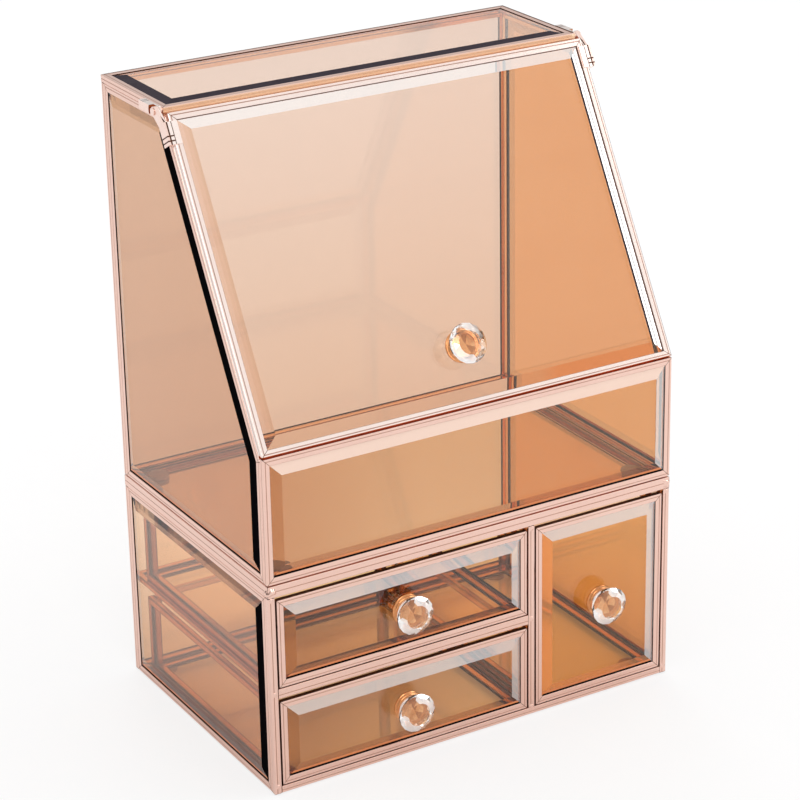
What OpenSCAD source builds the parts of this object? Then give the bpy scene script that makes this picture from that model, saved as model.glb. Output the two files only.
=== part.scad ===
// Dustproof makeup organizer: two stacked cases of tinted glass panes held in metal channel.
// The upper case has a tilting lid, the lower one has two wide drawers and a tall one.
// X runs across the front, Y from front to back and Z up from the surface it stands on.
// The origin is on that surface, at the centre of the plan box that also holds the knobs.

/* [Cases] */
// Width of both cases
case_w = 240; // [210:1:300]
// Depth of both cases
case_d = 160; // [140:1:200]
// Height of the lower case, without its pads
lower_h = 115.4; // [100:0.2:150]
// Height of the upper case, without its pads
upper_h = 219.4; // [190:0.2:260]
// Height of the upright front pane of the upper case
front_pane_h = 67; // [40:0.5:90]
// Depth of the flat top, from the back to the edge above the lid
top_depth = 70; // [50:0.5:85]
// Height by which the pads hold each case off what it stands on
pad_lift = 0.6; // [0.4:0.1:2]

/* [Channel] */
// Width of the channel's face over the glass
came_face = 3.8; // [3.2:0.1:5]
// Thickness of the channel round a pane
came_t = 3; // [2.8:0.1:4]
// Metal left outside the edge of the glass
came_web = 1; // [0.6:0.1:1.4]
// Height of the channel round the flat top of the upper case
top_came_t = 4; // [3.6:0.1:6]
// Height of the channel round the top of the lower case
deck_came_t = 6.4; // [4:0.1:8]
// Hairline left where two lengths of channel are soldered together
seam = 0.05; // [0.03:0.01:0.1]

/* [Glass] */
// Thickness of a plain pane, and of a bevelled pane at its edge
edge_t = 2; // [1.6:0.1:2.4]
// Depth of metal over the outer face of the glass at its edge
lip_t = 0.5; // [0.3:0.1:0.6]
// Extra thickness of a bevelled pane inside its bevel
bevel_rise = 1; // [0.4:0.1:1.4]
// Width of the bevel that shows beside the channel
bevel_w = 6; // [3:0.5:10]

/* [Lid] */
// Thickness of the channel round the lid
lid_t = 3.6; // [3.2:0.1:4.4]
// Face width of the channel along the foot of the lid
lid_foot_face = 5; // [4.6:0.1:7]
// Gap under the lid, over the sloping edges of the side panes
lid_gap = 0.6; // [0.4:0.1:1]
// Gap between the foot of the lid and the front pane
lid_foot_gap = 1; // [0.6:0.1:2]
// Distance of the lid's top edge in front of the flat top
lid_top_gap = 5; // [4:0.1:8]
// Distance of the lid's top edge below the top face
lid_top_drop = 1.5; // [0.5:0.1:3]
// Distance of the lid's knob from the foot of the lid
lid_knob_u = 30; // [20:1:80]

/* [Hinges] */
// Distance of the pivot behind the front edge of the flat top
pivot_back = 3; // [2:0.1:4]
// Distance of the pivot below the top face
pivot_drop = 2.2; // [2:0.1:3]
// Thickness of the hinge plate
plate_t = 1.2; // [0.8:0.1:2]
// Thickness of the hinge arm
arm_t = 2.4; // [1.6:0.1:3]
// Side gap on each face of the arm
hinge_gap = 0.1; // [0.06:0.01:0.2]
// Radius of the eye round the rivet
eye_r = 2.4; // [2:0.1:2.6]
// Radius of the rivet
rivet_r = 1.2; // [0.8:0.1:1.3]
// Running clearance of the rivet in the arm's eye
rivet_gap = 0.05; // [0.03:0.01:0.1]
// Radius of the rivet's head
rivet_head_r = 1.9; // [1.6:0.1:2.2]
// Height of the rivet's head
rivet_head_h = 0.6; // [0.4:0.1:1.2]
// Length of the plate behind the pivot
plate_len = 16; // [12:0.5:24]
// Height of the plate
plate_h = 4.4; // [3.6:0.1:5]
// Distance of the plate's raised rear part from the eye
plate_step = 2.8; // [2.4:0.1:5]
// Length of the arm below the pivot
arm_len = 19.2; // [16:0.1:26]
// Length over which the arm is fixed to the lid
arm_foot = 11.5; // [6:0.5:12]
// Distance by which the arm reaches below the lid
arm_low = 2; // [0.5:0.1:3]
// Depth of the waist where the arm's eye stands out of its strip
arm_waist = 0.2; // [0.1:0.1:0.6]
// Distance of the arm's bend from the top edge of the lid
arm_bend = 6; // [4:0.5:8]
// Thickness of the flange that lies on the lid's face
flange_t = 0.8; // [0.5:0.1:1.2]
// Width of the flange on the lid's face
flange_w = 3.4; // [2.5:0.1:5]

/* [Drawers] */
// Centre of the post between the wide drawers and the tall one
post_x = 33.3; // [10:0.1:50]
// Height of the rail between the two wide drawers
mid_rail_h = 5.4; // [4:0.1:8]
// Height of that rail's centre above the surface
mid_rail_z = 56.4; // [50:0.1:62]
// Gap behind a drawer, in front of the back pane
drawer_back_gap = 11; // [4:0.5:40]
// Gap at each side of a drawer front
side_gap = 0.9; // [0.6:0.1:1.5]
// Gap above a drawer front
top_gap = 2; // [1:0.1:3]
// Gap below a drawer front
bottom_gap = 0.5; // [0.4:0.1:1]
// Running gap under the drawer box
run_gap = 0.3; // [0.2:0.05:0.4]
// Distance of the box inside the ends of the drawer front
box_inset = 0.4; // [0:0.1:1]
// Height by which the box stays below the top of the drawer front
box_drop = 3; // [1:0.5:10]

/* [Knobs] */
// Radius of the crystal at its front rim
knob_r = 10.6; // [8:0.1:12]
// Radius of the crystal at its rear rim
knob_rear_r = 10; // [7:0.1:11.5]
// Radius of the flat on the front of the crystal
knob_table_r = 6.2; // [4:0.1:7]
// Radius of the crystal where it sits on the collar
knob_seat_r = 4.8; // [4.5:0.1:6]
// Distance of the front rim from the glass
knob_rim_h = 9.2; // [8:0.1:12]
// Distance between the two rims
knob_band = 3.6; // [2:0.1:4]
// Height of the front facets
knob_crown = 2.2; // [1:0.1:4]
// Height of the collar
collar_h = 2.6; // [2:0.1:4]
// Height of the collar's flange
collar_flange_h = 1; // [0.6:0.1:1.5]
// Radius of the collar's flange
collar_flange_r = 6; // [5.5:0.1:7]
// Radius of the screw
screw_r = 1.9; // [1.5:0.1:2.2]
// Radial clearance round the screw
screw_gap = 0.1; // [0.05:0.05:0.3]
// Radius of the screw head
screw_head_r = 3.5; // [3:0.1:4]
// Height of the screw head
screw_head_h = 2; // [1.5:0.1:3]
// Radius of the clear washer behind the glass
washer_r = 4.6; // [4.2:0.1:6]
// Thickness of the washer
washer_t = 0.8; // [0.5:0.1:1.2]

/* [Pads] */
// Radius of a pad
pad_r = 5.5; // [3:0.1:8]
// Distance of the pad's centre from the sides, front and back of its case
pad_inset = 15; // [14:0.5:30]

/* [Hidden] */
$fn = 48;

came_color = [0.93, 0.78, 0.72];
glass_color = [0.92, 0.68, 0.48, 0.45];
crystal_color = [0.95, 0.95, 0.97, 0.7];
steel_color = [0.75, 0.75, 0.76];
pad_color = [0.85, 0.83, 0.8];

// A bevelled pane stands this far out of its channel
glass_proud = bevel_rise - lip_t;
knob_h = knob_rim_h + knob_crown;
knob_reach = glass_proud + knob_h;

// Half width, front plane and back plane of both cases
half_w = case_w / 2;
front_y = (knob_reach - case_d) / 2;
back_y = front_y + case_d;
in_x = half_w - came_t;
in_front_y = front_y + came_t;
in_back_y = back_y - came_t;

// Levels from the surface up
lower_z0 = pad_lift;
lower_z1 = lower_z0 + lower_h;
deck_z = lower_z1 - deck_came_t;
upper_z0 = lower_z1 + pad_lift;
upper_z1 = upper_z0 + upper_h;
roof_z = upper_z1 - top_came_t;
front_top_z = upper_z0 + front_pane_h;

// The floor of each case is level with the top of the channels round it
lower_floor_z = lower_z0 + came_face;
upper_floor_z = upper_z0 + came_face;
slot_z = came_t - lip_t - edge_t;

// Bays behind the front frame of the lower case: low x, high x, low z, high z
mid_z0 = mid_rail_z - mid_rail_h / 2;
mid_z1 = mid_z0 + mid_rail_h;
post_x0 = post_x - came_face / 2;
post_x1 = post_x + came_face / 2;
bottom_bay = [came_face - half_w, post_x0, lower_floor_z, mid_z0];
top_bay = [came_face - half_w, post_x0, mid_z1, deck_z];
tall_bay = [post_x1, half_w - came_face, lower_floor_z, deck_z];

// The lid's outer face runs from its foot to its top edge
top_front_y = back_y - top_depth;
foot_z = front_top_z + lid_foot_gap;
lid_rise = [top_front_y - lid_top_gap - front_y, upper_z1 - lid_top_drop - foot_z];
lid_angle = atan2(lid_rise[1], lid_rise[0]);
lid_len = norm(lid_rise);

// The pivot, and its place on the lid: along the slope, and above the inner face
pivot_y = top_front_y + pivot_back;
pivot_z = upper_z1 - pivot_drop;
foot_to_pivot = [pivot_y - front_y, pivot_z - foot_z];
pivot_u = foot_to_pivot * [cos(lid_angle), sin(lid_angle)];
pivot_w = lid_t + foot_to_pivot * [-sin(lid_angle), cos(lid_angle)];
lid_slot_z = lid_t - lip_t - edge_t;
lid_foot_web = (lid_t - lid_slot_z) / tan(lid_angle) + came_web / 2;

// The sloping edge of a side pane lies under the lid, by the lid and its gap
slope_in = lid_t + lid_gap;
slope_y = front_y + slope_in * sin(lid_angle);
slope_z = foot_z - slope_in * cos(lid_angle);
slope_top_y = slope_y + (roof_z - slope_z) / tan(lid_angle);
slope_low_z = slope_z + (in_front_y - slope_y) * tan(lid_angle);

// Outlines, counterclockwise, in the plane of each pane
upper_side = [[in_front_y, upper_z0], [in_back_y, upper_z0], [in_back_y, roof_z],
    [slope_top_y, roof_z], [in_front_y, slope_low_z]];
lower_side = box_of(in_front_y, lower_z0, in_back_y, deck_z);
divider_outline = box_of(in_front_y, lower_floor_z, in_back_y, deck_z);
upper_back = box_of(-half_w, upper_z0, half_w, roof_z);
lower_back = box_of(-half_w, lower_z0, half_w, deck_z);
upper_top = box_of(-half_w, top_front_y, half_w, back_y);
lower_top = box_of(-half_w, front_y, half_w, back_y);
floor_outline = box_of(-in_x, in_front_y, in_x, in_back_y);
shelf_outline = box_of(-in_x, in_front_y, post_x - came_t / 2 - seam, in_back_y);
upper_front = box_of(-half_w, upper_z0, half_w, front_top_z);
lid_outline = box_of(-half_w, 0, half_w, lid_len);
lid_faces = [lid_foot_face, came_face, came_face, came_face];
lid_webs = [lid_foot_web, came_web, came_web, came_web];

function box_of(x0, y0, x1, y1) = [[x0, y0], [x1, y0], [x1, y1], [x0, y1]];
function flipped(p) = [for (i = [len(p) - 1:-1:0]) [-p[i][0], p[i][1]]];
function all_of(p, d) = [for (q = p) d];
function after(p, i) = (i + 1) % len(p);
function before(p, i) = (i + len(p) - 1) % len(p);
function along(p, i) = (p[after(p, i)] - p[i]) / norm(p[after(p, i)] - p[i]);
function inward(p, i) = [-along(p, i)[1], along(p, i)[0]];
function cross2(a, b) = a[0] * b[1] - a[1] * b[0];

// Corner i of an outline moved in by its own distance from each edge
function inset_corner(p, d, i) =
    let (a = inward(p, before(p, i)), b = inward(p, i), da = d[before(p, i)], db = d[i])
    p[i] + [da * b[1] - db * a[1], db * a[0] - da * b[0]] / cross2(a, b);
function inset(p, d) = [for (i = [0:len(p) - 1]) inset_corner(p, d, i)];

// Placing a pane: its outline is drawn flat, with its outer face up
module facing_front(y) { translate([0, y, 0]) rotate([90, 0, 0]) children(); }
module facing_back(y) { translate([0, y, 0]) rotate([90, 0, 180]) children(); }
module facing_left(x) { translate([x, 0, 0]) rotate([90, 0, -90]) children(); }
module facing_right(x) { translate([x, 0, 0]) rotate([90, 0, 90]) children(); }
module facing_up(z) { translate([0, 0, z]) children(); }
module on_lid() {
    translate([0, front_y + lid_t * sin(lid_angle), foot_z - lid_t * cos(lid_angle)])
        rotate([lid_angle, 0, 0]) children();
}
module side_copy(side) {
    if (side > 0) children();
    if (side < 0) mirror([1, 0, 0]) children();
}

// One length of channel along edge i, mitred at both ends, before its slot is cut
module channel_bar(p, faces, t, i) {
    j = after(p, i);
    q = inset(p, faces);
    step = along(p, i) * seam;
    linear_extrude(t) polygon([p[i] + step, p[j] - step, q[j] - step, q[i] + step]);
}

// Channels round a pane, with a slot that takes the edge of the glass
module channels(p, faces, webs, t, glass_z) {
    for (i = [0:len(p) - 1])
        difference() {
            channel_bar(p, faces, t, i);
            translate([0, 0, glass_z]) linear_extrude(edge_t) polygon(inset(p, webs));
        }
}
module plain_channels(p) { channels(p, all_of(p, came_face), all_of(p, came_web), came_t, slot_z); }

// Flat pane of glass in its channels
module plain_pane(p) {
    translate([0, 0, slot_z]) linear_extrude(edge_t) polygon(inset(p, all_of(p, came_web)));
}

// What the grinding wheel takes off along edge i, starting at the channel's inner edge
module bevel_cut(p, faces, i) {
    over = 8 * bevel_w;
    edge_len = norm(p[after(p, i)] - p[i]);
    turn = atan2(along(p, i)[1], along(p, i)[0]);
    translate([p[i][0], p[i][1], 0]) rotate([0, 0, turn]) translate([-over, 0, 0])
        rotate([90, 0, 90]) linear_extrude(edge_len + 2 * over)
            polygon([[-bevel_w, -bevel_rise], [faces[i] - bevel_w, -bevel_rise],
                [faces[i] + 2 * bevel_w, 2 * bevel_rise], [-bevel_w, 2 * bevel_rise]]);
}

// Bevelled pane, thicker inside its bevels than at the edge
module bevelled_pane(p, faces, webs, glass_z) {
    translate([0, 0, glass_z]) linear_extrude(edge_t) polygon(inset(p, webs));
    translate([0, 0, glass_z + edge_t]) difference() {
        linear_extrude(bevel_rise) polygon(inset(p, webs));
        for (i = [0:len(p) - 1]) bevel_cut(p, faces, i);
    }
}
module bevelled(p, glass_z) {
    bevelled_pane(p, all_of(p, came_face), all_of(p, came_web), glass_z);
}

// Lower case
module lower_left_glass() { color(glass_color) facing_left(-in_x) bevelled(flipped(lower_side), slot_z); }
module lower_right_glass() { color(glass_color) facing_right(in_x) bevelled(lower_side, slot_z); }
module lower_back_glass() { color(glass_color) facing_back(in_back_y) plain_pane(lower_back); }
module lower_top_glass() {
    color(glass_color) facing_up(lower_z1 - came_t) plain_pane(lower_top);
}
module lower_bottom_glass() {
    color(glass_color) facing_up(lower_floor_z - came_t) plain_pane(floor_outline);
}
module shelf_glass() { color(glass_color) facing_up(mid_z1 - came_t) plain_pane(shelf_outline); }
module divider_glass() {
    color(glass_color) facing_right(post_x - came_t / 2) plain_pane(divider_outline);
}
module lower_left_came() { color(came_color) facing_left(-in_x) plain_channels(flipped(lower_side)); }
module lower_right_came() { color(came_color) facing_right(in_x) plain_channels(lower_side); }
module lower_back_came() { color(came_color) facing_back(in_back_y) plain_channels(lower_back); }
module lower_top_came() {
    color(came_color) facing_up(deck_z)
        channels(lower_top, all_of(lower_top, came_face), all_of(lower_top, came_web),
            deck_came_t, deck_came_t - lip_t - edge_t);
}
module lower_bottom_came() {
    color(came_color) facing_up(lower_floor_z - came_t) plain_channels(floor_outline);
}
module shelf_came() { color(came_color) facing_up(mid_z1 - came_t) plain_channels(shelf_outline); }
module divider_came() {
    color(came_color) facing_right(post_x - came_t / 2) plain_channels(divider_outline);
}

// Upright or level bar of the front frame, given as a bay-like list
module front_bar(x0, x1, z0, z1) {
    translate([x0, front_y, z0]) cube([x1 - x0, came_t, z1 - z0]);
}
module lower_front_frame() {
    color(came_color) {
        front_bar(-half_w, came_face - half_w, lower_z0, deck_z);
        front_bar(half_w - came_face, half_w, lower_z0, deck_z);
        front_bar(came_face - half_w + seam, half_w - came_face - seam, lower_z0, lower_floor_z);
        front_bar(post_x0, post_x1, lower_floor_z + seam, deck_z);
        front_bar(came_face - half_w + seam, post_x0 - seam, mid_z0, mid_z1);
    }
}

// Four pads between a case's floor glass and what the case stands on
module pads(z0, z1) {
    x = half_w - pad_inset;
    y0 = front_y + pad_inset;
    y1 = back_y - pad_inset;
    for (p = box_of(-x, y0, x, y1))
        translate([p[0], p[1], z0]) cylinder(r = pad_r, h = z1 - z0);
}
module lower_pads() { color(pad_color) pads(0, lower_floor_z - came_t + slot_z); }

// Knob, drawn with the outer face of the glass at z = 0
module knob_crystal() {
    rear_z = knob_rim_h - knob_band;
    rotate_extrude() polygon([[0, collar_h], [knob_seat_r, collar_h], [knob_rear_r, rear_z],
        [knob_r, knob_rim_h], [knob_table_r, knob_h], [0, knob_h]]);
}
module knob_collar() {
    bore_r = screw_r + screw_gap;
    rotate_extrude() polygon([[bore_r, 0], [collar_flange_r, 0],
        [collar_flange_r, collar_flange_h], [knob_seat_r, collar_flange_h],
        [knob_seat_r, collar_h], [bore_r, collar_h]]);
}
module knob_screw() {
    behind = -edge_t - bevel_rise;
    washer_back = behind - seam - washer_t;
    head_top = washer_back - seam;
    translate([0, 0, washer_back]) difference() {
        cylinder(r = washer_r, h = washer_t);
        translate([0, 0, -washer_t]) cylinder(r = screw_r + screw_gap, h = 3 * washer_t);
    }
    translate([0, 0, head_top]) cylinder(r = screw_r, h = collar_h - seam - head_top);
    translate([0, 0, head_top - screw_head_h]) cylinder(r = screw_head_r, h = screw_head_h);
}
module knob_bore() {
    translate([0, 0, -edge_t]) cylinder(r = screw_r + screw_gap, h = 3 * (edge_t + bevel_rise));
}

// Drawers, each fitted to its bay
function front_of(bay) = box_of(bay[0] + side_gap, bay[2] + bottom_gap,
    bay[1] - side_gap, bay[3] - top_gap);
function front_x0(bay) = bay[0] + side_gap + box_inset;
function front_x1(bay) = bay[1] - side_gap - box_inset;
function box_z0(bay) = bay[2] + run_gap;
function box_z1(bay) = bay[3] - top_gap - box_drop;
function centre_of(bay) = [(bay[0] + bay[1]) / 2, (bay[2] + bottom_gap + bay[3] - top_gap) / 2];
drawer_back_y = in_back_y - drawer_back_gap;
box_front_y = in_front_y + seam;

module drawer_front_glass(bay) {
    c = centre_of(bay);
    color(glass_color) facing_front(in_front_y) difference() {
        bevelled(front_of(bay), slot_z);
        translate([c[0], c[1], 0]) knob_bore();
    }
}
module drawer_front_came(bay) {
    color(came_color) facing_front(in_front_y) plain_channels(front_of(bay));
}
function box_side(bay) = box_of(box_front_y, box_z0(bay), drawer_back_y, box_z1(bay));
function box_back(bay) = box_of(front_x0(bay) + came_t + seam, box_z0(bay),
    front_x1(bay) - came_t - seam, box_z1(bay));
function box_floor(bay) = box_of(front_x0(bay) + came_t + seam, box_front_y,
    front_x1(bay) - came_t - seam, drawer_back_y - came_t - seam);

// The sides, back and floor of a drawer box, each in its own place
module box_panes(bay, part) {
    facing_left(front_x0(bay) + came_t) box_part(flipped(box_side(bay)), part);
    facing_right(front_x1(bay) - came_t) box_part(box_side(bay), part);
    facing_back(drawer_back_y - came_t) box_part(flipped(box_back(bay)), part);
    facing_up(box_z0(bay)) box_part(box_floor(bay), part);
}
module box_part(outline, part) {
    if (part == "glass") plain_pane(outline);
    if (part == "came") plain_channels(outline);
}
module drawer_box_glass(bay) { color(glass_color) box_panes(bay, "glass"); }
module drawer_box_came(bay) { color(came_color) box_panes(bay, "came"); }
module on_drawer(bay) {
    c = centre_of(bay);
    facing_front(front_y - glass_proud) translate([c[0], c[1], 0]) children();
}
module drawer_crystal(bay) { color(crystal_color) on_drawer(bay) knob_crystal(); }
module drawer_collar(bay) { color(came_color) on_drawer(bay) knob_collar(); }
module drawer_screw(bay) { color(steel_color) on_drawer(bay) knob_screw(); }

module top_drawer_front_glass() { drawer_front_glass(top_bay); }
module top_drawer_front_came() { drawer_front_came(top_bay); }
module top_drawer_box_glass() { drawer_box_glass(top_bay); }
module top_drawer_box_came() { drawer_box_came(top_bay); }
module top_drawer_knob_crystal() { drawer_crystal(top_bay); }
module top_drawer_knob_collar() { drawer_collar(top_bay); }
module top_drawer_knob_screw() { drawer_screw(top_bay); }
module bottom_drawer_front_glass() { drawer_front_glass(bottom_bay); }
module bottom_drawer_front_came() { drawer_front_came(bottom_bay); }
module bottom_drawer_box_glass() { drawer_box_glass(bottom_bay); }
module bottom_drawer_box_came() { drawer_box_came(bottom_bay); }
module bottom_drawer_knob_crystal() { drawer_crystal(bottom_bay); }
module bottom_drawer_knob_collar() { drawer_collar(bottom_bay); }
module bottom_drawer_knob_screw() { drawer_screw(bottom_bay); }
module tall_drawer_front_glass() { drawer_front_glass(tall_bay); }
module tall_drawer_front_came() { drawer_front_came(tall_bay); }
module tall_drawer_box_glass() { drawer_box_glass(tall_bay); }
module tall_drawer_box_came() { drawer_box_came(tall_bay); }
module tall_drawer_knob_crystal() { drawer_crystal(tall_bay); }
module tall_drawer_knob_collar() { drawer_collar(tall_bay); }
module tall_drawer_knob_screw() { drawer_screw(tall_bay); }

// Upper case
module upper_back_glass() { color(glass_color) facing_back(in_back_y) plain_pane(upper_back); }
module upper_left_glass() { color(glass_color) facing_left(-in_x) bevelled(flipped(upper_side), slot_z); }
module upper_right_glass() { color(glass_color) facing_right(in_x) bevelled(upper_side, slot_z); }
module upper_top_glass() { color(glass_color) facing_up(upper_z1 - came_t) bevelled(upper_top, slot_z); }
module upper_floor_glass() {
    color(glass_color) facing_up(upper_floor_z - came_t) plain_pane(floor_outline);
}
module upper_front_glass() { color(glass_color) facing_front(in_front_y) bevelled(upper_front, slot_z); }
module upper_back_came() { color(came_color) facing_back(in_back_y) plain_channels(upper_back); }
module upper_left_came() { color(came_color) facing_left(-in_x) plain_channels(flipped(upper_side)); }
module upper_right_came() { color(came_color) facing_right(in_x) plain_channels(upper_side); }
module upper_top_came() {
    color(came_color) facing_up(roof_z)
        channels(upper_top, all_of(upper_top, came_face), all_of(upper_top, came_web),
            top_came_t, top_came_t - lip_t - edge_t);
}
module upper_floor_came() {
    color(came_color) facing_up(upper_floor_z - came_t) plain_channels(floor_outline);
}
module upper_front_came() { color(came_color) facing_front(in_front_y) plain_channels(upper_front); }
module upper_pads() { color(pad_color) pads(lower_z1 - lip_t, upper_floor_z - came_t + slot_z); }

// Hinge plate on the side of the upper case: an eye at the pivot, and a raised rear part
module plate_outline() {
    circle(r = eye_r);
    translate([0, -plate_h / 2]) square([plate_len, plate_h]);
}
module hinge_plate(side) {
    color(came_color) side_copy(side) facing_right(half_w) translate([pivot_y, pivot_z, 0]) {
        linear_extrude(plate_t) difference() {
            plate_outline();
            circle(r = rivet_r);
        }
        linear_extrude(plate_t + hinge_gap + arm_t) difference() {
            plate_outline();
            circle(r = eye_r + plate_step);
        }
    }
}
module hinge_plate_left() { hinge_plate(-1); }
module hinge_plate_right() { hinge_plate(1); }

// Rivets fixed in the plates, on which the arms turn
module hinge_rivets() {
    stack_t = plate_t + arm_t + 2 * hinge_gap;
    color(came_color) for (side = [-1, 1])
        side_copy(side) translate([half_w, pivot_y, pivot_z]) rotate([0, 90, 0]) {
            cylinder(r = rivet_r, h = stack_t);
            translate([0, 0, stack_t]) cylinder(r = rivet_head_r, h = rivet_head_h);
        }
}

// Hinge arm: a strip bent to its eye outside the plate, a foot on the lid's edge and a flange
module arm_outline() {
    foot_u = pivot_u - arm_len;
    half = eye_r - arm_waist;
    bend = [lid_len - arm_bend, (lid_t - arm_low) / 2];
    eye = [pivot_u, pivot_w];
    ahead = (eye - bend) / norm(eye - bend);
    left = [-ahead[1], ahead[0]];
    over = eye + half * left;
    under = eye - half * left;
    polygon([[foot_u, -arm_low],
        [under[0] - (under[1] + arm_low) * ahead[0] / ahead[1], -arm_low],
        under, over,
        [over[0] + (lid_t - over[1]) * ahead[0] / ahead[1], lid_t],
        [foot_u, lid_t]]);
    translate(eye) circle(r = eye_r);
}
module hinge_arm(side) {
    side_t = plate_t + hinge_gap + arm_t;
    arm_x = half_w + side_t - arm_t;
    foot_u = pivot_u - arm_len;
    color(came_color) side_copy(side) on_lid() {
        facing_right(arm_x) linear_extrude(arm_t) difference() {
            arm_outline();
            translate([pivot_u, pivot_w]) circle(r = rivet_r + rivet_gap);
        }
        translate([half_w, foot_u, 0]) cube([side_t, arm_foot, lid_t + flange_t]);
        translate([half_w - flange_w, foot_u, lid_t])
            cube([flange_w + side_t, arm_foot, flange_t]);
    }
}
module hinge_arm_left() { hinge_arm(-1); }
module hinge_arm_right() { hinge_arm(1); }

// Lid, cut level along its foot
module lid_foot_cut() {
    difference() {
        children();
        translate([-case_w, front_y - case_d, foot_z - lower_h]) cube([2 * case_w, 2 * case_d, lower_h]);
    }
}
module lid_glass() {
    color(glass_color) on_lid() difference() {
        bevelled_pane(lid_outline, lid_faces, lid_webs, lid_slot_z);
        translate([0, lid_knob_u, 0]) knob_bore();
    }
}
module lid_came() {
    color(came_color) lid_foot_cut() on_lid()
        channels(lid_outline, lid_faces, lid_webs, lid_t, lid_slot_z);
}
module at_lid_knob() { on_lid() translate([0, lid_knob_u, lid_t + glass_proud]) children(); }
module lid_knob_crystal() { color(crystal_color) at_lid_knob() knob_crystal(); }
module lid_knob_collar() { color(came_color) at_lid_knob() knob_collar(); }
module lid_knob_screw() { color(steel_color) at_lid_knob() knob_screw(); }

lower_left_glass();
lower_right_glass();
lower_back_glass();
lower_top_glass();
lower_bottom_glass();
shelf_glass();
divider_glass();
lower_left_came();
lower_right_came();
lower_back_came();
lower_top_came();
lower_bottom_came();
shelf_came();
divider_came();
lower_front_frame();
lower_pads();
top_drawer_front_glass();
top_drawer_front_came();
top_drawer_box_glass();
top_drawer_box_came();
top_drawer_knob_crystal();
top_drawer_knob_collar();
top_drawer_knob_screw();
bottom_drawer_front_glass();
bottom_drawer_front_came();
bottom_drawer_box_glass();
bottom_drawer_box_came();
bottom_drawer_knob_crystal();
bottom_drawer_knob_collar();
bottom_drawer_knob_screw();
tall_drawer_front_glass();
tall_drawer_front_came();
tall_drawer_box_glass();
tall_drawer_box_came();
tall_drawer_knob_crystal();
tall_drawer_knob_collar();
tall_drawer_knob_screw();
upper_back_glass();
upper_left_glass();
upper_right_glass();
upper_top_glass();
upper_floor_glass();
upper_front_glass();
upper_back_came();
upper_left_came();
upper_right_came();
upper_top_came();
upper_floor_came();
upper_front_came();
upper_pads();
hinge_plate_left();
hinge_plate_right();
hinge_rivets();
hinge_arm_left();
hinge_arm_right();
lid_glass();
lid_came();
lid_knob_crystal();
lid_knob_collar();
lid_knob_screw();
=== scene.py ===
import bmesh
import bpy
import math
import random
from mathutils import Matrix, Vector


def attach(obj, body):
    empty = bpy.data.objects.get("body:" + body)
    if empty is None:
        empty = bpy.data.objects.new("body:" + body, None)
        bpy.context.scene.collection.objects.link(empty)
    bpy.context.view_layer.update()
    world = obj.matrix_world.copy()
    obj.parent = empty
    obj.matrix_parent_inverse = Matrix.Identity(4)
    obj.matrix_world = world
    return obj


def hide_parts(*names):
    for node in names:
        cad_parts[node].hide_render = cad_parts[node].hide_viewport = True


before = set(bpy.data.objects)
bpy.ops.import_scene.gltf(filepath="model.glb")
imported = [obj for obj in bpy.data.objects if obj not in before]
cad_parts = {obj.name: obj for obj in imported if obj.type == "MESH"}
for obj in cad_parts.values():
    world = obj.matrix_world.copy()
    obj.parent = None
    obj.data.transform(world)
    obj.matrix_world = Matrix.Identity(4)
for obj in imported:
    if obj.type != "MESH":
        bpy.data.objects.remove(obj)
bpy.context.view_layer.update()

# Sizes of the part in millimetres, as the CAD has them: the case, its channels and its glass
MM = 0.001
CASE_W, CASE_D, TOP_DEPTH, FRONT_H = 240.0, 160.0, 70.0, 67.0
CAME_FACE, CAME_T, CAME_WEB = 3.8, 3.0, 1.0
TOP_CAME_T, DECK_CAME_T, SEAM = 4.0, 6.4, 0.05
EDGE_T, LIP_T, GLASS_PROUD, BEVEL_W = 2.0, 0.5, 0.5, 6.0
LOWER_Z0, LOWER_Z1, UPPER_Z0, UPPER_Z1 = 0.6, 116.0, 116.6, 336.0
# Rails, drawers, and the gaps round them
POST_X, MID_H, MID_Z = 33.3, 5.4, 56.4
SIDE_GAP, TOP_GAP, BOTTOM_GAP, RUN_GAP = 0.9, 2.0, 0.5, 0.3
BOX_INSET, BOX_DROP, BACK_GAP = 0.4, 3.0, 11.0
# Lid, knobs and hinges
LID_T, LID_GAP, LID_TOP_AHEAD, LID_TOP_DOWN, SLOPE_GAP = 3.6, 1.0, 5.0, 1.5, 0.6
LID_FOOT_FACE, LID_KNOB_U, KNOB_H = 5.0, 30.0, 11.4
PIVOT_BACK, PIVOT_DOWN = 3.0, 2.2
EYE_R, PLATE_STEP, PLATE_LEN, HINGE_T, ARM_LEN = 2.4, 2.8, 16.0, 3.7, 19.2
# Of the lid's lowest channel the photograph shows less than the CAD has, and its low strip is painted
# red-brown, painted shade of the gap under the lid
FOOT_SEEN, FOOT_SHADE_STRIP = 3.3, 0.3

HALF_W = CASE_W / 2
FRONT_Y = (GLASS_PROUD + KNOB_H - CASE_D) / 2
BACK_Y = FRONT_Y + CASE_D
IN_X, IN_FRONT_Y, IN_BACK_Y = HALF_W - CAME_T, FRONT_Y + CAME_T, BACK_Y - CAME_T
DECK_Z, ROOF_Z = LOWER_Z1 - DECK_CAME_T, UPPER_Z1 - TOP_CAME_T
FRONT_TOP_Z = UPPER_Z0 + FRONT_H
LOWER_FLOOR_Z, UPPER_FLOOR_Z = LOWER_Z0 + CAME_FACE, UPPER_Z0 + CAME_FACE
SLOT_Z = CAME_T - LIP_T - EDGE_T
MID_Z0, MID_Z1 = MID_Z - MID_H / 2, MID_Z + MID_H / 2
POST_X0, POST_X1 = POST_X - CAME_FACE / 2, POST_X + CAME_FACE / 2
TOP_FRONT_Y, FOOT_Z = BACK_Y - TOP_DEPTH, FRONT_TOP_Z + LID_GAP
PIVOT_Y, PIVOT_Z = TOP_FRONT_Y + PIVOT_BACK, UPPER_Z1 - PIVOT_DOWN
LID_RISE = (TOP_FRONT_Y - LID_TOP_AHEAD - FRONT_Y, UPPER_Z1 - LID_TOP_DOWN - FOOT_Z)
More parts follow.
